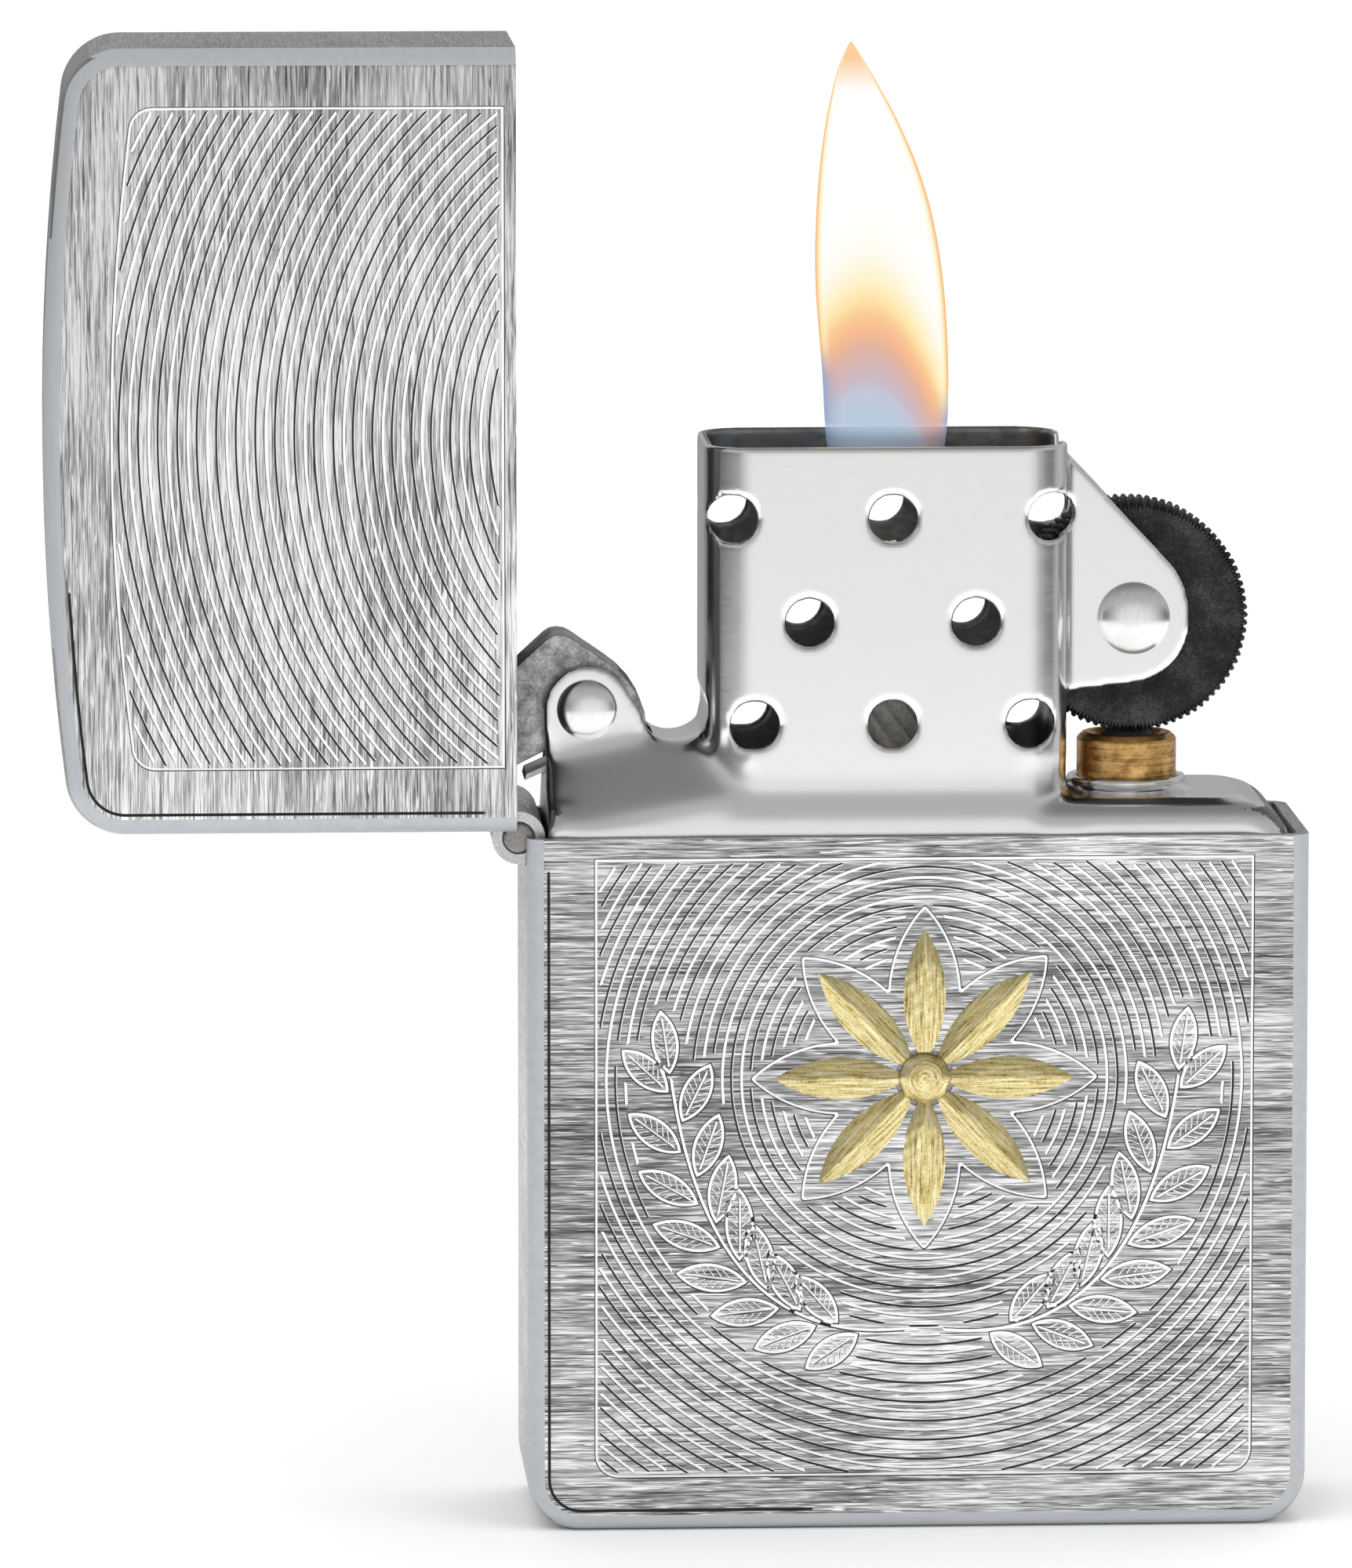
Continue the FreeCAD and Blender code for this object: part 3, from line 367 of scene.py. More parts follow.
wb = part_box("flint_wheel")
WX, WZ = (wb[0].x + wb[1].x) / 2 / MM, (wb[0].z + wb[1].z) / 2 / MM
WR, WY = (wb[1].z - wb[0].z) / 2 / MM, wb[1].y / MM
M["cam"] = cam_material()
M["tube"] = brass_material()
M["wheel_rim"] = wheel_material("wheel_teeth", False)
M["wheel_side"] = wheel_material("wheel_sides", True)
M["gilt"] = gilt_material()
M["wick"] = cloth_material("wick_cotton", (0.50, 0.46, 0.40), (0.90, 0.88, 0.84), 4.0)
M["wad"] = cloth_material("wadding_cotton", (0.62, 0.60, 0.56), (0.93, 0.92, 0.89), 2.0)
M["felt"] = cloth_material("felt_grey", (0.40, 0.385, 0.36), (0.72, 0.70, 0.66), 5.0)
M["flint"] = polished("flint_alloy", (0.26, 0.24, 0.22), 0.6, 0.06, grain=(5, 5, 5), bump=0.05)


# ---------------------------------------------------------------- mesh helpers
def new_object(name, verts, faces, mats, index=None):
    me = bpy.data.meshes.new(name)
    me.from_pydata([tuple(float(c) * MM for c in v) for v in verts], [], faces)
    for m in mats:
        me.materials.append(m)
    if index is not None:
        me.polygons.foreach_set("material_index", index)
    me.validate()
    me.update()
    ob = bpy.data.objects.new(name, me)
    bpy.context.scene.collection.objects.link(ob)
    return ob


def shade(ob, angle=30.0):
    """Smooth faces with sharp edges above an angle; normals carried over from the CAD mesh are dropped."""
    me = ob.data
    if "custom_normal" in me.attributes:
        me.attributes.remove(me.attributes["custom_normal"])
    bm = bmesh.new()
    bm.from_mesh(me)
    bm.normal_update()
    lim = math.radians(angle)
    for f in bm.faces:
        f.smooth = True
    for e in bm.edges:
        e.smooth = len(e.link_faces) == 2 and e.calc_face_angle(0.0) < lim
    bm.to_mesh(me)
    bm.free()
    me.update()


def cad_mesh(node, flat=False):
    """A welded copy of a CAD node's mesh, as bmesh, in metres."""
    bm = bmesh.new()
    bm.from_mesh(frame["nodes"][node].data)
    bmesh.ops.remove_doubles(bm, verts=bm.verts, dist=2e-7)
    bmesh.ops.dissolve_degenerate(bm, edges=bm.edges, dist=1e-8)
    if flat:
        bmesh.ops.dissolve_limit(bm, angle_limit=math.radians(0.4), use_dissolve_boundaries=False,
                                 verts=bm.verts, edges=bm.edges, delimit={"NORMAL"})
    return bm


def refined(node, body, mats, bevel=0.0, segs=2, angle=30.0, name=None, pick=None):
    """The CAD node as a welded piece with softened edges."""
    bm = cad_mesh(node, True)
    bm.normal_update()
    for f in bm.faces:
        f.material_index = pick(f) if pick else 0
    me = bpy.data.meshes.new(name or node + "_piece")
    bm.to_mesh(me)
    bm.free()
    for m in mats:
        me.materials.append(m)
    ob = bpy.data.objects.new(name or node + "_piece", me)
    bpy.context.scene.collection.objects.link(ob)
    if bevel:
        mod = ob.modifiers.new("edges", "BEVEL")
        mod.width = bevel * MM
        mod.segments = segs
        mod.limit_method = "ANGLE"
        mod.angle_limit = math.radians(angle)
        mod.use_clamp_overlap = True
        mod.harden_normals = True
    shade(ob, angle)
    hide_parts(node)
    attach(ob, body)
    return ob


def tube_mesh(paths, radius, seg=8):
    """Closed round tubes along point lists. radius is a number or a function of 0..1."""
    verts, faces = [], []
    for pts in paths:
        pts = [Vector(p) for p in pts]
        base = len(verts)
        n = len(pts)
        for i, p in enumerate(pts):
            d = (pts[min(i + 1, n - 1)] - pts[max(i - 1, 0)]).normalized()
            up = Vector((0, 1, 0)) if abs(d.y) < 0.9 else Vector((1, 0, 0))
            a = d.cross(up).normalized()
            b = d.cross(a).normalized()
            r = radius(i / (n - 1)) if callable(radius) else radius
            for j in range(seg):
                t = 2 * math.pi * j / seg
                verts.append(p + (a * math.cos(t) + b * math.sin(t)) * r)
        for i in range(n - 1):
            for j in range(seg):
                q = base + i * seg
                faces.append((q + j, q + (j + 1) % seg, q + seg + (j + 1) % seg, q + seg + j))
        faces.append(tuple(base + j for j in reversed(range(seg))))
        faces.append(tuple(base + (n - 1) * seg + j for j in range(seg)))
    return verts, faces


# ------------------------------------------------------------------ engraving
PITCH = 0.47
GROOVE = (-0.075, 0.030, 0.075)  # edge, bottom, edge across a cut
RING_EVEN = (-0.082, 0.046, 0.078)
RING_ODD = (-0.068, -0.026, 0.070)
DEPTH = 0.05


def to_open(p):
    """Closed lid coordinates to the open lid at rest."""
    p = np.asarray(p, float)
    return np.stack([HX - (p[..., 1] - HZ), HZ + (p[..., 0] - HX)], -1)


def to_closed(p):
    p = np.asarray(p, float)
    return np.stack([HX + (p[..., 1] - HZ), HZ - (p[..., 0] - HX)], -1)


def arc_pts(cx, cz, r, a0, a1, n):
    t = np.radians(np.linspace(a0, a1, n))
    return [(cx + r * math.cos(a), cz + r * math.sin(a)) for a in t]


def case_border(d):
    x0, x1, z0, z1, r = -15.73 + d, 16.27 - d, 2.71 + d, 33.09 - d, max(1.1 - d, 0.05)
    return (arc_pts(x0 + r, z0 + r, r, 180, 270, 9) + arc_pts(x1 - r, z0 + r, r, 270, 360, 9) + [(x1, z1), (x0, z1)])


def lid_border(d):
    """The opening side is straight with square corners; the far side follows the dome."""
    x0, x1, z0, r = -15.8 + d, 16.2 - d, 34.79 + d, max(1.1 - d, 0.05)
    zs, rise = 52.75 - d, 0.95
    pts = [(x0, z0), (x1, z0)] + arc_pts(x1 - r, zs - r, r, 0, 80, 8)
    mid, half = (x0 + x1) / 2, (x1 - x0) / 2 - r
    for u in np.linspace(1, -1, 61)[1:-1]:
        pts.append((mid + half * u, zs + rise * (1 - u * u)))
    pts += arc_pts(x0 + r, zs - r, r, 100, 180, 8)
    return pts


def inside(poly, p):
    """Even-odd test of many points against a closed polygon."""
    poly = np.asarray(poly, float)
    p = np.asarray(p, float)
    a, b = poly, np.roll(poly, -1, axis=0)
    return even_odd(a, b, p)


def even_odd(a, b, p):
    res = np.zeros(len(p), bool)
    for s in range(0, len(p), 4000):
        q = p[s:s + 4000]
        za, zb = a[None, :, 1], b[None, :, 1]
        hit = (za > q[:, 1:2]) != (zb > q[:, 1:2])
        with np.errstate(divide="ignore", invalid="ignore"):
            x = a[None, :, 0] + (q[:, 1:2] - za) / (zb - za) * (b[None, :, 0] - a[None, :, 0])
        res[s:s + 4000] = (np.sum(hit & (q[:, 0:1] < x), axis=1) % 2).astype(bool)
    return res


class Lens:
    """Pointed leaf between two tips: the overlap of two discs."""

    def __init__(self, p0, p1, w):
        self.p0, self.p1, self.w = np.array(p0, float), np.array(p1, float), w
        d = self.p1 - self.p0
        self.len = np.linalg.norm(d)
        self.t = d / self.len
        self.n = np.array([-self.t[1], self.t[0]])
        self.r = (self.len ** 2 / 4 + w * w) / (2 * w)
        m = (self.p0 + self.p1) / 2
        self.c = (m + self.n * (w - self.r), m - self.n * (w - self.r))

    def inside(self, p, grow):
        p = np.asarray(p, float)
        return (np.linalg.norm(p - self.c[0], axis=-1) < self.r + grow) & (np.linalg.norm(p - self.c[1], axis=-1) < self.r + grow)

    def loop(self, grow, n=16):
        """Outline of the leaf, grown or shrunk."""
        r = self.r + grow
        gap = self.r - self.w
        half = math.sqrt(max(r * r - gap * gap, 1e-6))
        a = math.asin(min(half / r, 1.0))
        out = []
        for c, s in ((self.c[0], 1), (self.c[1], -1)):
            for t in np.linspace(-a, a, n)[:-1]:
                out.append(c + self.n * s * r * math.cos(t) + self.t * s * r * math.sin(t))
        return [tuple(q) for q in out]


def bezier(p0, p1, p2, t):
    t = np.asarray(t, float)[..., None]
    p0, p1, p2 = (np.array(q, float) for q in (p0, p1, p2))
    return (1 - t) ** 2 * p0 + 2 * t * (1 - t) * p1 + t * t * p2


# gilded rosette: eight petals round the ring centre, as in the CAD part
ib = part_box("gilt_inlay")
IX, IZ = (ib[0].x + ib[1].x) / 2 / MM, (ib[0].z + ib[1].z) / 2 / MM
IR = (ib[1].x - ib[0].x) / 2 / MM
PET_R0, PET_R1, PET_W = 0.75, IR, 1.031
PETALS = []
for i in range(8):
    a = math.pi / 2 + i * math.pi / 4
    u = np.array([math.cos(a), math.sin(a)])
    PETALS.append(Lens(np.array([IX, IZ]) + u * PET_R0, np.array([IX, IZ]) + u * PET_R1, PET_W))


def rosette_outline(grow, n=720):
    """Outer outline of the grown petals, as a star-shaped loop about the centre."""
    ang = np.linspace(0, 2 * math.pi, n, endpoint=False)
    rad = np.linspace(0.4, IR + 2.0, 700)
    out = []
    for a in ang:
        pts = np.stack([IX + rad * math.cos(a), IZ + rad * math.sin(a)], -1)
        hit = np.zeros(len(rad), bool)
        for pt in PETALS:
            hit |= pt.inside(pts, grow)
        r = rad[np.nonzero(hit)[0].max()] if hit.any() else 0.4
        out.append(max(r, 1.9 + grow))
    out = np.array(out)
    k = np.array([0.25, 0.5, 0.25])
    for _ in range(2):
        out = k[0] * np.roll(out, 1) + k[1] * out + k[2] * np.roll(out, -1)
    return [(IX + r * math.cos(a), IZ + r * math.sin(a)) for r, a in zip(out, ang)]


# leafy sprays on both sides of the rosette
SPRAY_LEAVES, SPRAY_STEMS = [], []
for side in (1, -1):
    P0, P1, P2 = (IX + side * 1.0, 9.9), (IX + side * 11.2, 8.9), (IX + side * 12.6, 24.4)
    SPRAY_STEMS.append(bezier(P0, P1, P2, np.linspace(0.0, 0.93, 60)))
    for j, t in enumerate(np.linspace(0.10, 0.90, 15)):
        p = bezier(P0, P1, P2, [t])[0]
        q = bezier(P0, P1, P2, [t + 0.01])[0]
        d = (q - p) / np.linalg.norm(q - p)
        which = side * (1 if j % 2 else -1)
        ang = which * math.radians(38)
        e = np.array([d[0] * math.cos(ang) - d[1] * math.sin(ang), d[0] * math.sin(ang) + d[1] * math.cos(ang)])
        length = 3.5 * (1.0 - 0.35 * abs(t - 0.5))
        SPRAY_LEAVES.append(Lens(p + e * 0.36, p + e * (0.36 + length), 0.66))
    tip = bezier(P0, P1, P2, [0.93])[0]
    d = tip - bezier(P0, P1, P2, [0.91])[0]
    d = d / np.linalg.norm(d)
    SPRAY_LEAVES.append(Lens(tip + d * 0.3, tip + d * 3.4, 0.62))


def near_line(p, line, dist):
    p = np.asarray(p, float)
    best = np.full(len(p), 1e9)
    for a, b in zip(line[:-1], line[1:]):
        d = b - a
        t = np.clip(((p - a) @ d) / (d @ d), 0, 1)
        best = np.minimum(best, np.linalg.norm(p - (a + t[:, None] * d), axis=1))
    return best < dist


ROSETTE_HALO = rosette_outline(0.95)


def case_free(p):
    """Where the rings run on the case: inside the border, clear of rosette and sprays."""
    ok = inside(case_border(0.11), p)
    ok &= ~inside(ROSETTE_HALO, p)
    for leaf in SPRAY_LEAVES:
        ok &= ~leaf.inside(p, 0.30)
    for stem in SPRAY_STEMS:
        ok &= ~near_line(p, stem, 0.30)
    return ok


def lid_free(p):
    return inside(lid_border(0.11), p)


class Cuts:
    """Collects engraved lines as constraints: every line is an edge, a bottom and an edge."""

    def __init__(self):
        self.v, self.kind, self.e = [], [], []

    def line(self, pts, kind, closed):
        base = len(self.v)
        self.v += [tuple(map(float, p)) for p in pts]
        self.kind += [kind] * len(pts)
        n = len(pts)
        self.e += [(base + i, base + i + 1) for i in range(n - 1)]
        if closed:
            self.e.append((base + n - 1, base))
        return base, base + n - 1

    def loop3(self, make, offs=GROOVE):
        """Closed cut from a function that gives the loop at an offset."""
        for off, kind in zip(offs, ("a", "b", "c")):
            self.line(make(off), kind, True)

    def open3(self, pts, flip=False, width=1.0, offs=GROOVE, kinds=("a", "b", "c"), tail=0.10):
        """Open cut along points, closed off at both ends."""
        pts = np.asarray(pts, float)
        d = np.gradient(pts, axis=0)
        d /= np.linalg.norm(d, axis=1)[:, None]
        n = np.stack([-d[:, 1], d[:, 0]], -1)
        ends = []
        for off, kind in zip(offs, kinds):
            o = (-off if flip else off) * width
            q = pts + n * o
            if kind == "b":
                q[0] -= d[0] * tail
                q[-1] += d[-1] * tail
            ends.append(self.line(q, kind, False))
        (a0, a1), (b0, b1), (c0, c1) = ends
        self.kind[b0] = self.kind[b1] = kinds[0]
        self.e += [(a0, b0), (b0, c0), (a1, b1), (b1, c1)]

    def rings(self, centre, free, rmax):
        n = 1
        while n * PITCH < rmax:
            r = n * PITCH
            offs = RING_EVEN if n % 2 else RING_ODD
            seg = max(40, int(2 * math.pi * r / 0.33))
            t = np.linspace(0, 2 * math.pi, seg, endpoint=False)
            p = np.stack([centre[0] + r * np.cos(t), centre[1] + r * np.sin(t)], -1)
            lo = np.stack([centre[0] + (r - 0.09) * np.cos(t), centre[1] + (r - 0.09) * np.sin(t)], -1)
            hi = np.stack([centre[0] + (r + 0.09) * np.cos(t), centre[1] + (r + 0.09) * np.sin(t)], -1)
            ok = free(p) & free(lo) & free(hi)
            if ok.all():
                self.loop3(lambda off, r=r, t=t: [(centre[0] + (r + off) * math.cos(a), centre[1] + (r + off) * math.sin(a)) for a in t], offs)
            elif ok.any():
                start = int(np.nonzero(~ok)[0][0])
                order = [(start + i) % seg for i in range(seg)]
                run = []
                for i in order + [start]:
                    if ok[i] and i != start:
                        run.append(i)
                    else:
                        if len(run) >= 4:
                            self.open3(p[run], flip=True, offs=offs)
                        run = []
            n += 1


def ordered_loop(edges):
    """Longest closed chain of boundary vertices."""
    nxt = {}
    for e in edges:
        for v in e.verts:
            nxt.setdefault(v, []).append(e.other_vert(v))
    seen, best = set(), []
    for start in nxt:
        if start in seen:
            continue
        chain, prev, cur = [start], None, start
        seen.add(start)
        while True:
            step = [v for v in nxt[cur] if v is not prev]
            if not step or step[0] is start or step[0] in seen:
                break
            prev, cur = cur, step[0]
            seen.add(cur)
            chain.append(cur)
        size = sum((a.co - b.co).length for a, b in zip(chain, chain[1:]))
        if not best or size > best[0]:
            best = (size, chain)
    return best[1]


def shadow_line_run(chain, want, inset):
    """Part of the face outline, moved inwards and evenly spaced, where want() holds; it carries the dark cut that
    paints the shadow line inside the rolled edge.
    """
    p = np.array([(v.co.x / MM, v.co.z / MM) for v in chain])
    area2 = np.sum(p[:, 0] * np.roll(p[:, 1], -1) - np.roll(p[:, 0], -1) * p[:, 1])
    if area2 < 0:
        p = p[::-1]
    q = []
    for a, b in zip(p, np.roll(p, -1, axis=0)):
        n = max(1, int(np.linalg.norm(b - a) / 0.4))
        q += [a + (b - a) * i / n for i in range(n)]
    q = np.array(q)
    d = np.roll(q, -1, axis=0) - np.roll(q, 1, axis=0)
    d /= np.maximum(np.linalg.norm(d, axis=1)[:, None], 1e-9)
    q = q + np.stack([-d[:, 1], d[:, 0]], -1) * inset
    ok = want(q)
    if ok.all() or not ok.any():
        return None
    start = int(np.nonzero(~ok)[0][0])
    idx = [(start + i) % len(q) for i in range(len(q))]
    runs, run = [], []
    for i in idx:
        if ok[i]:
            run.append(i)
        elif run:
            runs.append(run)
            run = []
    if run:
        runs.append(run)
    run = max(runs, key=len)
    out = [q[run[0]]]
    for i in run[1:]:
        if np.linalg.norm(q[i] - out[-1]) > 0.12:
            out.append(q[i])
    return np.array(out)


def engrave(node, body, name, cuts, mats, shadow_line_where):
    """The CAD shell with its flat front refilled around the engraved cuts."""
    bm = cad_mesh(node)
    y0 = FRONT * MM
    tol = 2e-6
    flat = [f for f in bm.faces if all(abs(v.co.y - y0) < tol for v in f.verts)]
    bmesh.ops.delete(bm, geom=flat, context="FACES_ONLY")
    rim = [e for e in bm.edges if e.is_boundary and all(abs(v.co.y - y0) < tol for v in e.verts)]
    loose = [e for e in bm.edges if not e.link_faces]
    bmesh.ops.delete(bm, geom=loose, context="EDGES")
    rim = [e for e in bm.edges if e.is_boundary and all(abs(v.co.y - y0) < tol for v in e.verts)]
    rim_v = sorted({v for e in rim for v in e.verts}, key=lambda v: v.index)
    # painted shadow: a dark cut just inside the face outline, on the left and bottom, stands in for the shadow line
    # at the rolled edge
    run = shadow_line_run(ordered_loop(rim), shadow_line_where, 0.10)
    if run is not None:
        cuts.open3(run, offs=(-0.080, 0.0, 0.065), kinds=("k", "b", "k"))
    pos = {v: i for i, v in enumerate(rim_v)}
    pts = [(v.co.x / MM, v.co.z / MM) for v in rim_v]
    edges = [(pos[e.verts[0]], pos[e.verts[1]]) for e in rim]
    ea = np.array([pts[a] for a, b in edges])
    eb = np.array([pts[b] for a, b in edges])
    nb = len(pts)
    all_pts = [Vector(p) for p in pts] + [Vector(p) for p in cuts.v]
    all_edges = edges + [(a + nb, b + nb) for a, b in cuts.e]
    kinds = ["r"] * nb + cuts.kind
    vo, eo, fo, ov, oe, of = delaunay_2d_cdt(all_pts, all_edges, [], 0, 1e-5)
    co = np.array([(v.x, v.y) for v in vo])
    kind = []
    for src in ov:
        ks = {kinds[i] for i in src}
        kind.append("r" if "r" in ks else ("b" if "b" in ks else ("k" if "k" in ks else ("c" if "c" in ks else "a"))))
    tri = np.array([f for f in fo if len(f) == 3])
    cen = co[tri].mean(axis=1)
    keep = even_odd(ea, eb, cen)
    back = {i: rim_v[s] for i, src in enumerate(ov) for s in src if s < nb}
    made = {}

    def vert(i):
        if i in back:
            return back[i]
        if i not in made:
            y = y0 + (DEPTH * MM if kind[i] == "b" else 0.0)
            made[i] = bm.verts.new((co[i][0] * MM, y, co[i][1] * MM))
        return made[i]

    new_faces = []
    for t, k in zip(tri, keep):
        if not k:
            continue
        try:
            f = bm.faces.new([vert(int(i)) for i in t])
        except ValueError:
            continue
        ks = [kind[int(i)] for i in t]
        # flanks beside the a edge take the painted highlight; flanks beside the c edge and along the shadow line take
        # the painted shade
        f.material_index = 0
        if "b" in ks:
            f.material_index = 2 if ("c" in ks or "k" in ks) else 1
        new_faces.append(f)
    bm.normal_update()
    for f in new_faces:
        if f.normal.y > 0:
            f.normal_flip()
    box0, box1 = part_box(node)
    fresh = set(new_faces)
    for f in bm.faces:
        if f in fresh:
            continue
        c = f.calc_center_median()
        n = f.normal
        f.material_index = 3
        if abs(n.y) > 0.985 and (abs(c.y - box0.y) < 2e-5 or abs(c.y - box1.y) < 2e-5):
            f.material_index = 0
        elif abs(n.y) < 0.12:
            f.material_index = 5
    # inside of the shell: the faces of the hollow
    for f in bm.faces:
        if f in fresh:
            continue
        c = f.calc_center_median()
        if abs(c.y) < (box1.y - 0.00045) and (box0.x + 0.00045 < c.x < box1.x - 0.00045) and (box0.z + 0.00045 < c.z < box1.z - 0.00045):
            f.material_index = 4
        elif abs(f.normal.y) > 0.9 and abs(abs(c.y) - (box1.y - 0.0006)) < 5e-5:
            f.material_index = 4
    me = bpy.data.meshes.new(name)
    bm.to_mesh(me)
    bm.free()
    for m in mats:
        me.materials.append(m)
    ob = bpy.data.objects.new(name, me)
    bpy.context.scene.collection.objects.link(ob)
    shade(ob, 20.0)
    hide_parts(node)
    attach(ob, body)
    print("engraved", name, "verts", len(me.vertices), "faces", len(me.polygons), "open edges",
          sum(1 for e in rim if False))
    return ob


# case front: border, rings, rosette outline, sprays
cuts = Cuts()
cuts.loop3(lambda off: case_border(-off))
cuts.loop3(lambda off: rosette_outline(0.72 + off))
for leaf in SPRAY_LEAVES:
    cuts.loop3(lambda off, leaf=leaf: leaf.loop(off * 1.25))
    # vein, and fine hatching on both halves
    s = leaf.len
    u = np.linspace(0.13, 0.86, 8)
    cuts.open3([leaf.p0 + leaf.t * s * k for k in u], width=0.85)
    for k in np.linspace(0.26, 0.70, 5):
        for sgn in (1, -1):
            w = math.sqrt(leaf.r ** 2 - (s * (k + 0.08) - s / 2) ** 2) - (leaf.r - leaf.w)
            a0 = leaf.p0 + leaf.t * s * k + leaf.n * sgn * 0.12
            a1 = leaf.p0 + leaf.t * s * (k + 0.10) + leaf.n * sgn * (w - 0.16)
            if w > 0.34:
                cuts.open3([a0, (a0 + a1) / 2, a1], width=0.5, tail=0.03)
for stem in SPRAY_STEMS:
    cuts.open3(stem, width=1.25)
cuts.rings(RING_C, case_free, 32.0)
case_ob = engrave("case_shell", "case", "case_engraved", cuts,
                  [M["case"], M["cut_light"], M["cut_dark"], M["case_edge"], M["case_in"], M["case_side"]],
                  lambda q: ((q[:, 0] < -15.0) & (q[:, 1] < 32.6)) | ((q[:, 1] < 3.0) & (q[:, 0] < -5.0)))

cuts = Cuts()
cuts.loop3(lambda off: [tuple(q) for q in to_open(lid_border(-off))][::-1])
ring_open = tuple(to_open(np.array(RING_C)))
cuts.rings(ring_open, lambda p: lid_free(to_closed(p)), 40.0)
lid_ob = engrave("lid_shell", "lid", "lid_engraved", cuts,
                 [M["lid"], M["cut_light"], M["cut_dark"], M["lid_edge"], M["case_in"], M["case_side"]],
                 lambda q: ((q[:, 0] < -38.0) & (q[:, 1] < 46.5)) | ((q[:, 1] < 36.2) & (q[:, 0] < -21.0)))


# --------------------------------------------------------------- gilded petals
def gilt():
    verts, faces, lay = [], [], []
    nu, nv = 40, 14
    for pi, pt in enumerate(PETALS):
        base = len(verts)
        for i in range(nu + 1):
            u = i / nu
            along = u * pt.len
            # half width of the lens here
            x = along - pt.len / 2
            w = math.sqrt(max(pt.r ** 2 - x * x, 0)) - (pt.r - pt.w)
            w = max(w, 0.02)
            for j in range(nv + 1):
                v = j / nv * 2 - 1
                p = pt.p0 + pt.t * along + pt.n * (v * w)
                crown = (1 - abs(v)) ** 0.85
                ease = min(1.0, 4 * u, 4 * (1 - u)) ** 0.7
                cut = 0.018 * math.sin(v * w / 0.085 * math.pi + pi) * (1 - abs(v)) * ease
                cut += 0.010 * math.sin(along * 9.0 + 7 * v + pi * 2)
                y = FRONT - 0.01 - 0.30 * crown * ease - cut * ease
                verts.append((p[0], y, p[1]))
                lay.append((along, v * w, pi * 7.0))
        row = nv + 1
        for i in range(nu):
            for j in range(nv):
                q = base + i * row + j
                faces.append((q, q + row, q + row + 1, q + 1))
        # underside and walls
        under = len(verts)
        for i in range(nu + 1):
            for j in (0, nv):
                vx, vy, vz = verts[base + i * row + j]
                verts.append((vx, FRONT + 0.17, vz))
                lay.append((i * 0.1, j * 0.1, pi * 7.0))
        for i in range(nu):
            a, b = under + 2 * i, under + 2 * i + 2
            q = base + i * row
            faces.append((q, a, b, q + row))
            faces.append((q + nv, q + nv + row, b + 1, a + 1))
            faces.append((a, a + 1, b + 1, b))
        faces.append(tuple([base + j for j in range(row)] + [under + 1, under]))
        last = base + nu * row
        faces.append(tuple([last + j for j in reversed(range(row))] + [under + 2 * nu, under + 2 * nu + 1]))
    # domed boss in the middle
    base = len(verts)
    rings, seg = 6, 32
    for i in range(rings + 1):
        t = i / rings
        r = 1.28 * math.cos(t * math.pi / 2)
        y = FRONT - 0.05 - 0.42 * math.sin(t * math.pi / 2)
        for j in range(seg):
            a = 2 * math.pi * j / seg
            rr = max(r, 0.01) * (1 + 0.05 * math.cos(8 * a) * (1 - t))
            verts.append((IX + rr * math.cos(a), y, IZ + rr * math.sin(a)))
            lay.append((a, rr, 90.0))
    for i in range(rings):
        for j in range(seg):
            q = base + i * seg
            faces.append((q + j, q + (j + 1) % seg, q + seg + (j + 1) % seg, q + seg + j))
    faces.append(tuple(base + rings * seg + j for j in range(seg)))
    low = len(verts)
    for j in range(seg):
        vx, vy, vz = verts[base + j]
        verts.append((vx, FRONT + 0.16, vz))
        lay.append((0.0, j * 0.1, 90.0))
    for j in range(seg):
        faces.append((base + (j + 1) % seg, base + j, low + j, low + (j + 1) % seg))
    faces.append(tuple(low + j for j in reversed(range(seg))))
    ob = new_object("gilt_rosette", verts, faces, [M["gilt"]])
    at = ob.data.attributes.new("lay", "FLOAT_VECTOR", "POINT")
    at.data.foreach_set("vector", [c for q in lay for c in q])
    bm = bmesh.new()
    bm.from_mesh(ob.data)
    bmesh.ops.recalc_face_normals(bm, faces=bm.faces)
    bm.to_mesh(ob.data)
    bm.free()
    shade(ob, 40)
    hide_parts("gilt_inlay")
    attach(ob, "case")


gilt()

# ----------------------------------------------------------------- hinge parts
refined("case_hinge_leaf", "case", [M["hinge"]], 0.06)
refined("lid_hinge_leaf", "lid", [M["hinge"]], 0.06)
refined("hinge_pin", "case", [M["pin"]], 0.05)

# ---------------------------------------------------------------------- insert
SHEET = 0.45


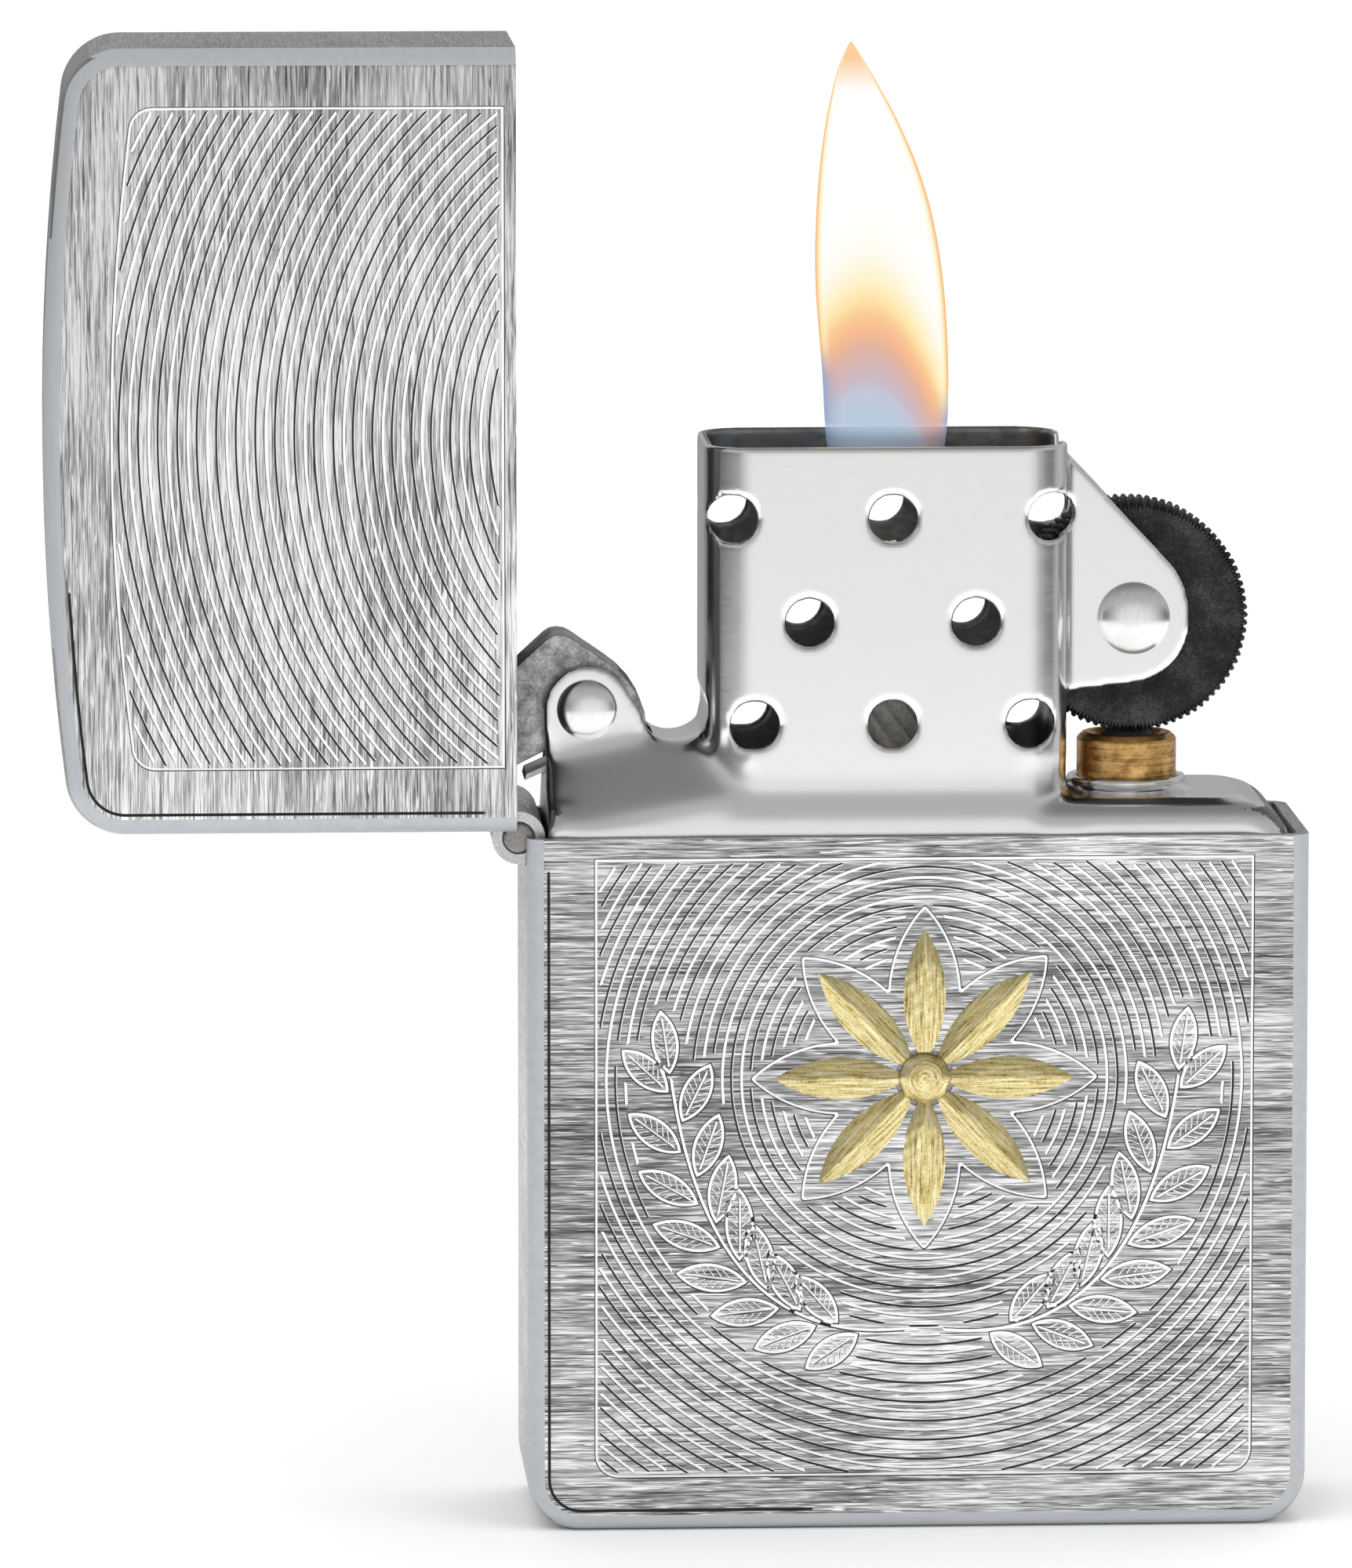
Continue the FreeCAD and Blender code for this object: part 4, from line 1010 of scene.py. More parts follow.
def rivet(node):
    """Pin with a shallow domed head on each end, slightly crowned as if set with a punch."""
    b0, b1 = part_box(node)
    cx, cz = (b0.x + b1.x) / 2 / MM, (b0.z + b1.z) / 2 / MM
    rad, yo = (b1.x - b0.x) / 2 / MM, b1.y / MM
    me = frame["nodes"][node].data
    rr = np.array([(math.hypot(v.co.x / MM - cx, v.co.z / MM - cz), abs(v.co.y) / MM) for v in me.vertices])
    ye = rr[rr[:, 0] > rad * 0.97, 1].min()
    half = [(rad * 0.45, 0.0), (rad * 0.45, ye), (rad * 0.985, ye), (rad, ye + 0.03)]
    for t in np.linspace(0.0, 1.0, 14):
        q = rad * math.cos(t * math.pi / 2)
        half.append((max(q, 0.01), ye + 0.07 + (yo - ye + 0.05) * (1 - (q / rad) ** 2.4) ** 0.62))
    prof = [(r, -y) for r, y in reversed(half)][:-1] + half[1:]
    seg = 64
    verts, faces = [], []
    for r, y in prof:
        for j in range(seg):
            a = 2 * math.pi * j / seg
            verts.append((cx + r * math.cos(a), y, cz + r * math.sin(a)))
    n = len(prof)
    for i in range(n - 1):
        for j in range(seg):
            p, q = i * seg, (i + 1) * seg
            faces.append((p + j, p + (j + 1) % seg, q + (j + 1) % seg, q + j))
    faces.append(tuple(reversed(range(seg))))
    faces.append(tuple((n - 1) * seg + j for j in range(seg)))
    ob = new_object(node + "_domed", verts, faces, [M["rivet"]])
    bm = bmesh.new()
    bm.from_mesh(ob.data)
    bmesh.ops.recalc_face_normals(bm, faces=bm.faces)
    bm.to_mesh(ob.data)
    bm.free()
    shade(ob, 40)
    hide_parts(node)
    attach(ob, "insert")


def insert_pick(f):
    """Painted shade: the inside of the chimney and of the tank takes the dark material."""
    c, n = f.calc_center_median() / MM, f.normal
    dx, dy = max(abs(c.x + 1.45) - 6.57, 0.0), max(abs(c.y) - 2.75, 0.0)
    if c.z > 36.3 and math.hypot(dx, dy) < 2.3 - SHEET / 2:
        return 1
    if c.z < 35.25 and -17.6 < c.x < 17.95 and abs(c.y) < 5.1:
        return 1
    return 0


def pressed(node, body, mats, name):
    """The insert as drawn sheet: its upper part is remeshed and its corners flow into each other."""
    cut, over = 33.3, 33.15
    up = cad_mesh(node)
    low = up.copy()
    r = bmesh.ops.bisect_plane(up, geom=up.verts[:] + up.edges[:] + up.faces[:], plane_co=(0, 0, over * MM), plane_no=(0, 0, 1), clear_inner=True)
    bmesh.ops.triangle_fill(up, edges=[e for e in r["geom_cut"] if isinstance(e, bmesh.types.BMEdge)], use_beauty=True, normal=(0, 0, -1))
    bmesh.ops.remove_doubles(up, verts=up.verts, dist=1e-7)
    r = bmesh.ops.bisect_plane(low, geom=low.verts[:] + low.edges[:] + low.faces[:], plane_co=(0, 0, cut * MM), plane_no=(0, 0, 1), clear_outer=True)
    rim = {v for v in r["geom_cut"] if isinstance(v, bmesh.types.BMVert)}
    for v in rim:
        # tucked a hair's breadth under the upper part
        if v.co.x < -17.9 * MM or v.co.x > 18.2 * MM:
            v.co.x -= math.copysign(0.02 * MM, v.co.x)
        if abs(v.co.y) > 5.4 * MM:
            v.co.y -= math.copysign(0.02 * MM, v.co.y)
    me = bpy.data.meshes.new(name)
    up.to_mesh(me)
    up.free()
    ob = bpy.data.objects.new(name, me)
    bpy.context.scene.collection.objects.link(ob)
    mod = ob.modifiers.new("r", "REMESH")
    mod.mode = "VOXEL"
    mod.voxel_size = 0.15 * MM
    ev = ob.evaluated_get(bpy.context.evaluated_depsgraph_get())
    fine = bpy.data.meshes.new_from_object(ev)
    bpy.data.objects.remove(ob)
    n = len(fine.vertices)
    co = np.empty(n * 3)
    fine.vertices.foreach_get("co", co)
    co = co.reshape(-1, 3) / MM
    ed = np.empty(len(fine.edges) * 2, dtype=np.int64)
    fine.edges.foreach_get("vertices", ed)
    ed = ed.reshape(-1, 2)
    deg = np.maximum(np.bincount(ed.ravel(), minlength=n), 1)

    def flow(c, w, rounds):
        for _ in range(rounds):
            for k in range(3):
                t = np.bincount(ed[:, 0], c[ed[:, 1], k], n) + np.bincount(ed[:, 1], c[ed[:, 0], k], n)
                c[:, k] += w * (t / deg - c[:, k])
        return c

    def step(x, a, b):
        t = np.clip((x - a) / (b - a), 0, 1)
        return t * t * (3 - 2 * t)
    x, y, z = co.T.copy()
    hold = step(z, over + 0.1, over + 0.5)
    co = flow(co, 0.5 * hold, 3)
    foot = step(z, 33.95, 34.6) * (1 - step(z, 37.0, 38.0)) * (1 - 0.85 * step(x, 7.6, 9.0)) * step(x, -17.6, -16.2)
    ears = step(z, 34.2, 35.2) * (1 - step(z, 38.3, 39.2)) * (1 - step(x, -9.6, -8.0)) * (0.12 + 0.88 * step(x, -17.6, -16.2))
    slot = 1 - 0.8 * ((abs(y) < 2.2) & (x < -9.0))
    co = flow(co, 0.5 * np.maximum(0.35 * foot, ears) * slot, 90)
    fine.vertices.foreach_set("co", (co * MM).ravel())
    fine.update()
    low.from_mesh(fine)
    low.normal_update()
    for f in low.faces:
        f.material_index = insert_pick(f)
    out = bpy.data.meshes.new(name)
    low.to_mesh(out)
    low.free()
    for m in mats:
        out.materials.append(m)
    ob = bpy.data.objects.new(name, out)
    bpy.context.scene.collection.objects.link(ob)
    shade(ob, 55)
    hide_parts(node)
    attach(ob, body)
    print("pressed", name, n)


pressed("insert_shell", "insert", [M["insert"], M["insert_in"]], "insert_pressed")
refined("cam", "cam", [M["cam"]], 0.05, 2, 20.0)
rivet("cam_rivet")
rivet("wheel_rivet")


def driven(ob, key, moves, expression, sources):
    """A shape key on a springy piece that follows the bodies it is pressed by."""
    if not ob.data.shape_keys:
        ob.shape_key_add(name="free")
    kb = ob.shape_key_add(name=key)
    kb.value = 0.0
    for v in ob.data.vertices:
        kb.data[v.index].co = Vector(moves(v.co / MM)) * MM
    dr = kb.driver_add("value").driver
    dr.type = "SCRIPTED"
    for var_name, body, channel in sources:
        var = dr.variables.new()
        var.name = var_name
        var.type = "TRANSFORMS"
        var.targets[0].id = frame["bodies"][body]
        var.targets[0].transform_type = channel
        var.targets[0].transform_space = "WORLD_SPACE"
    dr.expression = expression


LEAF_X = [-18.98, -17.85, -17.05, -16.45, -15.94, -15.35, -14.65, -12.0]
LEAF_TOP = [36.70, 37.18, 37.60, 37.76, 37.62, 37.14, 36.76, 36.76]
LEAF_LOW = [36.42, 36.90, 37.30, 37.42, 37.24, 36.72, 36.42, 36.42]


def leaf_flat(p):
    """The cam's nose holds the leaf flat and the closed lid pushes its tip in."""
    if p.x > -14.6:
        return p
    top, low = float(np.interp(p.x, LEAF_X, LEAF_TOP)), float(np.interp(p.x, LEAF_X, LEAF_LOW))
    k = min(max((p.z - low) / (top - low), 0.0), 1.0)
    return (-14.6 + (p.x + 14.6) * 0.75, p.y, 36.43 + 0.33 * k)


def leaf_tip(p):
    """Opened past the rest position, the cam's heel bends the tip down."""
    k = max(0.0, (-15.6 - p.x) / 3.38)
    return (p.x + 0.05 * k, p.y, p.z - 0.30 * k)


leaf = refined("cam_spring", "insert", [M["spring"]])
driven(leaf, "flat", leaf_flat, "min(1.0, max(0.0, (r - 0.75) / 0.60))", [("r", "lid", "ROT_Y")])
driven(leaf, "tip", leaf_tip, "min(1.0, max(0.0, -r / 0.16))", [("r", "lid", "ROT_Y")])
refined("cam_spring_rivet", "insert", [M["rivet"]], 0.05)
refined("flint_tube", "insert", [M["tube"]], 0.10, 3)
refined("flint_screw", "screw", [M["tube"]], 0.08)
coil = refined("flint_spring", "insert", [M["spring"]], angle=50.0)
coil_z0, coil_z1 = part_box("flint_spring")[0].z / MM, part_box("flint_spring")[1].z / MM
driven(coil, "pressed", lambda p: (p.x, p.y, p.z - 2.0 * (p.z - coil_z0) / (coil_z1 - coil_z0)),
       "min(1.0, max(0.0, (a - b) / 0.002))", [("a", "insert", "LOC_Z"), ("b", "flint_stack", "LOC_Z")])
for node, key in (("flint", "flint"), ("spring_plunger", "brass")):
    me = frame["nodes"][node].data
    me.materials.clear()
    me.materials.append(M[key])


def wheel():
    """Disc with cross-cut teeth: two sets of slanted grooves across the rim."""
    teeth, per, ny = 90, 8, 22
    nt = teeth * per
    r_top, y_rim = WR, WY
    cham = 0.30
    verts, faces, index = [], [], []
    for i in range(nt):
        th = 2 * math.pi * i / nt
        for j in range(ny + 1):
            v = j / ny * 2 - 1
            y = v * y_rim
            edge = max(0.0, (abs(y) - (y_rim - cham)) / cham)
            p1 = (th * teeth / (2 * math.pi) + v * 0.75) % 1.0
            p2 = (th * teeth / (2 * math.pi) - v * 0.75) % 1.0
            g = min(abs(p1 - 0.5) * 2, 1.0), min(abs(p2 - 0.5) * 2, 1.0)
            ridge = min(1 - g[0] ** 2, 1 - g[1] ** 2)
            wear = 0.03 * math.sin(th * 17 + j) * math.cos(th * 5.3)
            r = r_top - 0.25 + 0.25 * min(1.0, ridge * 1.45) - 0.20 * edge + wear * ridge - 0.02
            r = min(r, r_top)
            verts.append((WX + r * math.cos(th), y, WZ + r * math.sin(th)))
    row = ny + 1
    for i in range(nt):
        for j in range(ny):
            a, b = i * row + j, ((i + 1) % nt) * row + j
            faces.append((a, a + 1, b + 1, b))
            index.append(0)
    # sides: recessed face with turned rings, down to the bore
    for s, j in ((-1, 0), (1, ny)):
        radii = [(5.12, 1.0), (4.7, 0.99), (4.35, 0.93), (3.0, 0.93), (2.2, 0.93), (1.06, 0.93)]
        prev = [i * row + j for i in range(nt)]
        for r, k in radii:
            cur = []
            for i in range(nt):
                th = 2 * math.pi * i / nt
                cur.append(len(verts))
                verts.append((WX + r * math.cos(th), s * y_rim * k, WZ + r * math.sin(th)))
            for i in range(nt):
                a, b, c, d = prev[i], prev[(i + 1) % nt], cur[(i + 1) % nt], cur[i]
                faces.append((a, b, c, d) if s < 0 else (d, c, b, a))
                index.append(1)
            prev = cur
        if s < 0:
            inner_front = prev
        else:
            inner_back = prev
    for i in range(nt):
        faces.append((inner_front[i], inner_front[(i + 1) % nt], inner_back[(i + 1) % nt], inner_back[i]))
        index.append(1)
    ob = new_object("flint_wheel_cut", verts, faces, [M["wheel_rim"], M["wheel_side"]], index)
    bm = bmesh.new()
    bm.from_mesh(ob.data)
    bmesh.ops.recalc_face_normals(bm, faces=bm.faces)
    bm.to_mesh(ob.data)
    bm.free()
    shade(ob, 35)
    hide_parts("flint_wheel")
    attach(ob, "wheel")


wheel()


# ------------------------------------------------------------- wick and packing
def wick():
    b0, b1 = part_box("wick")
    cx, r = (b0.x + b1.x) / 2 / MM, (b1.x - b0.x) / 2 / MM
    z0, z1 = b0.z / MM, b1.z / MM
    paths = []
    for ring, (count, rad) in enumerate(((1, 0.0), (6, 0.82), (11, 1.58))):
        for k in range(count):
            pts = []
            a0 = 2 * math.pi * k / count + ring
            n = 90
            top = z1 - 0.10 * ring - 0.5 * rng.random() * (rad > 1) - 0.05
            for i in range(n):
                t = i / (n - 1)
                z = z0 + (top - z0) * t
                a = a0 + (1 if ring % 2 else -1) * (z - z0) * 0.42
                fray = 1.0 + (0.16 * max(0.0, (t - 0.965) / 0.035) * (0.5 + rng.random() * 0.4) if rad else 0.0)
                rr = rad * fray
                pts.append((cx + rr * math.cos(a), rr * math.sin(a), z))
            paths.append(pts)
    v, f = tube_mesh(paths, lambda t: 0.46 * (1.0 if t < 0.985 else 1.0 - (t - 0.985) / 0.015 * 0.45), 9)
    ob = new_object("wick_strands", v, f, [M["wick"]])
    shade(ob, 60)
    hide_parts("wick")
    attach(ob, "insert")


wick()


def fuzzy(node, name, mat, voxel, amount, cell):
    """A soft packing: the CAD solid remeshed, shrunk a little and roughened like fibre."""
    bm = cad_mesh(node)
    me = bpy.data.meshes.new(name)
    bm.to_mesh(me)
    bm.free()
    ob = bpy.data.objects.new(name, me)
    bpy.context.scene.collection.objects.link(ob)
    mod = ob.modifiers.new("r", "REMESH")
    mod.mode = "VOXEL"
    mod.voxel_size = voxel * MM
    dg = bpy.context.evaluated_depsgraph_get()
    ev = ob.evaluated_get(dg)
    me2 = bpy.data.meshes.new_from_object(ev)
    ob.modifiers.clear()
    ob.data = me2
    me2.name = name
    from mathutils import noise
    normals = [v.normal.copy() for v in me2.vertices]
    for v, nrm in zip(me2.vertices, normals):
        p = v.co / MM
        d = noise.fractal(p / cell, 1.0, 2.0, 4)
        v.co += nrm * (d * amount * 0.5 - amount * 0.5) * MM
    me2.materials.clear()
    me2.materials.append(mat)
    shade(ob, 80)
    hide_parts(node)
    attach(ob, "insert")


fuzzy("fuel_wadding", "wadding_fibre", M["wad"], 0.55, 0.35, 1.6)
fuzzy("felt_pad", "felt_pad_fibre", M["felt"], 0.28, 0.10, 0.5)


# --------------------------------------------------- burr round the flint tube
def burr():
    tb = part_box("flint_tube")
    cx = (tb[0].x + tb[1].x) / 2 / MM
    z = 35.6 + 0.53
    verts, faces = [], []
    seg, ring = 96, 8
    r2 = np.random.default_rng(3)
    wob = r2.random(seg)
    wob = 0.5 * wob + 0.25 * np.roll(wob, 1) + 0.25 * np.roll(wob, -1)
    for i in range(seg):
        a = 2 * math.pi * i / seg
        w = wob[i]
        for j in range(ring):
            b = 2 * math.pi * j / ring
            rad = 0.13 + 0.10 * w
            rr = 2.70 + 0.06 * w + rad * math.cos(b)
            verts.append((cx + rr * math.cos(a), rr * math.sin(a), z + 0.03 + rad * 1.1 * math.sin(b)))
    for i in range(seg):
        for j in range(ring):
            p, q = i * ring, ((i + 1) % seg) * ring
            faces.append((p + j, q + j, q + (j + 1) % ring, p + (j + 1) % ring))
    ob = new_object("deck_collar_burr", verts, faces, [M["insert"]])
    bm = bmesh.new()
    bm.from_mesh(ob.data)
    bmesh.ops.recalc_face_normals(bm, faces=bm.faces)
    bm.to_mesh(ob.data)
    bm.free()
    shade(ob, 50)
    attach(ob, "insert")


burr()


# ----------------------------------------------------------------------- flame
def flame():
    """Not a piece of the object: it stands on the wick and goes out when the lid shuts."""
    rows = [(45, 291, 299), (90, 268, 330), (150, 245, 365), (300, 212, 450), (450, 190, 518), (600, 178, 568), (750, 172, 600),
            (900, 174, 620), (1050, 186, 631), (1200, 199, 636), (1350, 206, 634), (1460, 215, 622), (1530, 250, 590)]
    zs = [(1950 - (20 + y / 2.703)) / 26.2 - 0.72 for y, a, b in rows]
    xl = [((980 + a / 2.703) - 1167.5) / 26.2 for y, a, b in rows]
    xr = [((980 + b / 2.703) - 1167.5) / 26.2 for y, a, b in rows]
    order = np.argsort(zs)
    zs, xl, xr = (np.array(q)[order] for q in (zs, xl, xr))
    n, seg = 90, 48
    z = np.linspace(zs[0], zs[-1], n)
    left, right = np.interp(z, zs, xl), np.interp(z, zs, xr)
    k = np.array([1, 2, 3, 2, 1]) / 9.0
    for _ in range(3):
        left[2:-2] = np.convolve(left, k, "valid")
        right[2:-2] = np.convolve(right, k, "valid")
    base = Vector(((left[0] + right[0]) / 2 * MM, 0, z[0] * MM))
    verts, faces = [], []
    for i in range(n):
        c, w = (left[i] + right[i]) / 2, (right[i] - left[i]) / 2
        dep = min(w, 3.0) * 0.9
        for j in range(seg):
            a = 2 * math.pi * j / seg
            verts.append((c + w * math.cos(a) - base.x / MM, dep * math.sin(a), z[i] - base.z / MM))
    for i in range(n - 1):
        for j in range(seg):
            q = i * seg
            faces.append((q + j, q + (j + 1) % seg, q + seg + (j + 1) % seg, q + seg + j))
    faces.append(tuple(reversed(range(seg))))
    faces.append(tuple((n - 1) * seg + j for j in range(seg)))
    k = Mat("flame")
    k.nt.nodes.remove(k.bsdf)
    sep = k.node("ShaderNodeSeparateXYZ")
    k.link(k.tc, "Object", sep, "Vector")
    zmm = k.math("MULTIPLY", sep, 1000.0, ao=2)
    dx = k.math("ADD", k.math("MULTIPLY", sep, 1000.0, ao=0), 1.05)
    arch = k.math("MULTIPLY", k.math("MULTIPLY", dx, dx), 0.37)
    v01 = k.math("DIVIDE", k.math("ADD", zmm, arch), 14.0, clamp=True)

    def lin(r, g, b):
        return tuple((c / 255.0 / 12.92) if c < 11 else ((c / 255.0 + 0.055) / 1.055) ** 2.4 for c in (r, g, b))
    body = k.ramp(v01, [(0.20, lin(180, 200, 222)), (0.29, lin(190, 198, 215)), (0.344, lin(201, 183, 194)), (0.398, lin(212, 178, 176)),
                        (0.453, lin(226, 177, 155)), (0.507, lin(245, 184, 140)), (0.561, lin(250, 199, 144)), (0.616, lin(254, 226, 165)),
                        (0.671, lin(254, 240, 194)), (0.78, lin(254, 252, 240)), (0.914, lin(255, 255, 253))])
    lw = k.node("ShaderNodeLayerWeight", Blend=0.5)
    face = k.math("MULTIPLY", lw, 1.0, ao=1)
    edge = k.ramp(face, [(0.40, 0.0), (0.70, 1.0)])
    tint = k.ramp(face, [(0.50, lin(255, 247, 212)), (0.64, lin(253, 226, 165)), (0.78, lin(249, 193, 128)), (0.95, lin(246, 178, 118))])
    # the warm outline ends sooner on the left
    sidef = k.math("ADD", k.math("MULTIPLY", dx, 0.2), 0.5, clamp=True)
    zl = k.math("ADD", k.math("MULTIPLY", sidef, -2.4), 5.0)
    up = k.math("DIVIDE", k.math("SUBTRACT", zmm, zl), 1.6, clamp=True)
    tip = k.math("DIVIDE", k.math("SUBTRACT", zmm, 18.6), 1.6, clamp=True)
    col = k.mix(tip, body, lin(251, 205, 148))
    col = k.mix(k.math("MULTIPLY", edge, up), col, tint)
    cold = k.ramp(face, [(0.25, 0.0), (0.75, 0.85)])
    col = k.mix(k.math("MULTIPLY", cold, k.math("SUBTRACT", 1.0, up)), col, lin(140, 164, 202))
    em = k.node("ShaderNodeEmission", Strength=1.0)
    k.nt.links.new(col.outputs[2], em.inputs["Color"])
    tr = k.node("ShaderNodeBsdfTransparent")
    ms = k.node("ShaderNodeMixShader")
    low = k.ramp(k.math("DIVIDE", zmm, 10.0, clamp=True), [(0.0, 0.30), (0.17, 0.42), (0.25, 0.97)])
    soft = k.ramp(face, [(0.93, 1.0), (1.0, 0.35)])
    foot = k.math("DIVIDE", zmm, 1.5, clamp=True)
    alpha = k.math("MULTIPLY", k.math("MULTIPLY", low, soft), foot)
    front = k.node("ShaderNodeNewGeometry")
    inv = k.math("SUBTRACT", 1.0, front, bo=6)
    alpha2 = k.math("MULTIPLY", alpha, inv)
    k.nt.links.new(alpha2.outputs[0], ms.inputs[0])
    k.nt.links.new(tr.outputs[0], ms.inputs[1])
    k.nt.links.new(em.outputs[0], ms.inputs[2])
    k.nt.links.new(ms.outputs[0], k.out.inputs["Surface"])
    ob = new_object("flame", verts, faces, [k.m])
    for p in ob.data.polygons:
        p.use_smooth = True
    ob.location = base
    ob.visible_shadow = False
    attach(ob, "insert")
    for i in range(3):
        dr = ob.driver_add("scale", i).driver
        dr.type = "SCRIPTED"
        var = dr.variables.new()
        var.name = "r"
        var.type = "TRANSFORMS"
        var.targets[0].id = frame["bodies"]["lid"]
        var.targets[0].transform_type = "ROT_Y"
        var.targets[0].transform_space = "WORLD_SPACE"
        dr.expression = "max(0.001, 1 - 4 * max(0, r))"


flame()


# ----------------------------------------------------------------------- stage
def cyclorama():
    """Pale floor that curves up into a pale wall behind the object."""
    prof = [(-1.6, 0.0)]
    prof += [(y, 0.0) for y in np.linspace(-1.2, 0.28, 12)]
    prof += [(0.28 + 0.35 * math.sin(t), 0.35 - 0.35 * math.cos(t)) for t in np.linspace(0.1, math.pi / 2, 12)]
    prof += [(0.63, z) for z in (0.6, 0.9, 1.3)]
    verts, faces = [], []
    xs = np.linspace(-1.5, 1.5, 13)
    for x in xs:
        for y, z in prof:
            verts.append((x / MM, y / MM, z / MM))
    n = len(prof)
    for i in range(len(xs) - 1):
        for j in range(n - 1):
            a = i * n + j
            faces.append((a, a + n, a + n + 1, a + 1))
    k = Mat("studio_paper")
    k.set(Metallic=0.0, Roughness=0.9)
    f = k.noise((0.02, 0.02, 0.02), 3.0, 0.5)
    k.color(k.ramp(f, [(0.3, (0.88, 0.88, 0.88)), (0.7, (0.91, 0.91, 0.91))]))
    fib = k.noise((1.5, 1.5, 1.5), 3.0, 0.6)
    k.bump(fib, 0.05, 0.05)
    ob = new_object("cyclorama", verts, faces, [k.m])
    for p in ob.data.polygons:
        p.use_smooth = True


cyclorama()


def world():
    w = bpy.data.worlds.new("studio")
    w.use_nodes = True
    bpy.context.scene.world = w
    nt = w.node_tree
    nt.nodes.clear()
    out = nt.nodes.new("ShaderNodeOutputWorld")
    bg = nt.nodes.new("ShaderNodeBackground")
    tc = nt.nodes.new("ShaderNodeTexCoord")
    sep = nt.nodes.new("ShaderNodeSeparateXYZ")
    nt.links.new(tc.outputs["Generated"], sep.inputs[0])
    ab = nt.nodes.new("ShaderNodeMath")
    ab.operation = "ABSOLUTE"
    nt.links.new(sep.outputs[0], ab.inputs[0])
    cr = nt.nodes.new("ShaderNodeValToRGB")
    els = cr.color_ramp.elements
    stops = [(0.0, 0.84), (0.4, 0.83), (0.6, 0.80), (0.8, 0.80), (0.9, 0.82), (1.0, 0.84)]
    while len(els) < len(stops):
        els.new(0.5)
    for e, (p, c) in zip(els, stops):
        e.position = p
        e.color = (c, c, c * 1.01, 1)
    nt.links.new(ab.outputs[0], cr.inputs[0])
    nt.links.new(cr.outputs[0], bg.inputs["Color"])
    bg.inputs["Strength"].default_value = 1.0
    nt.links.new(bg.outputs[0], out.inputs[0])


world()


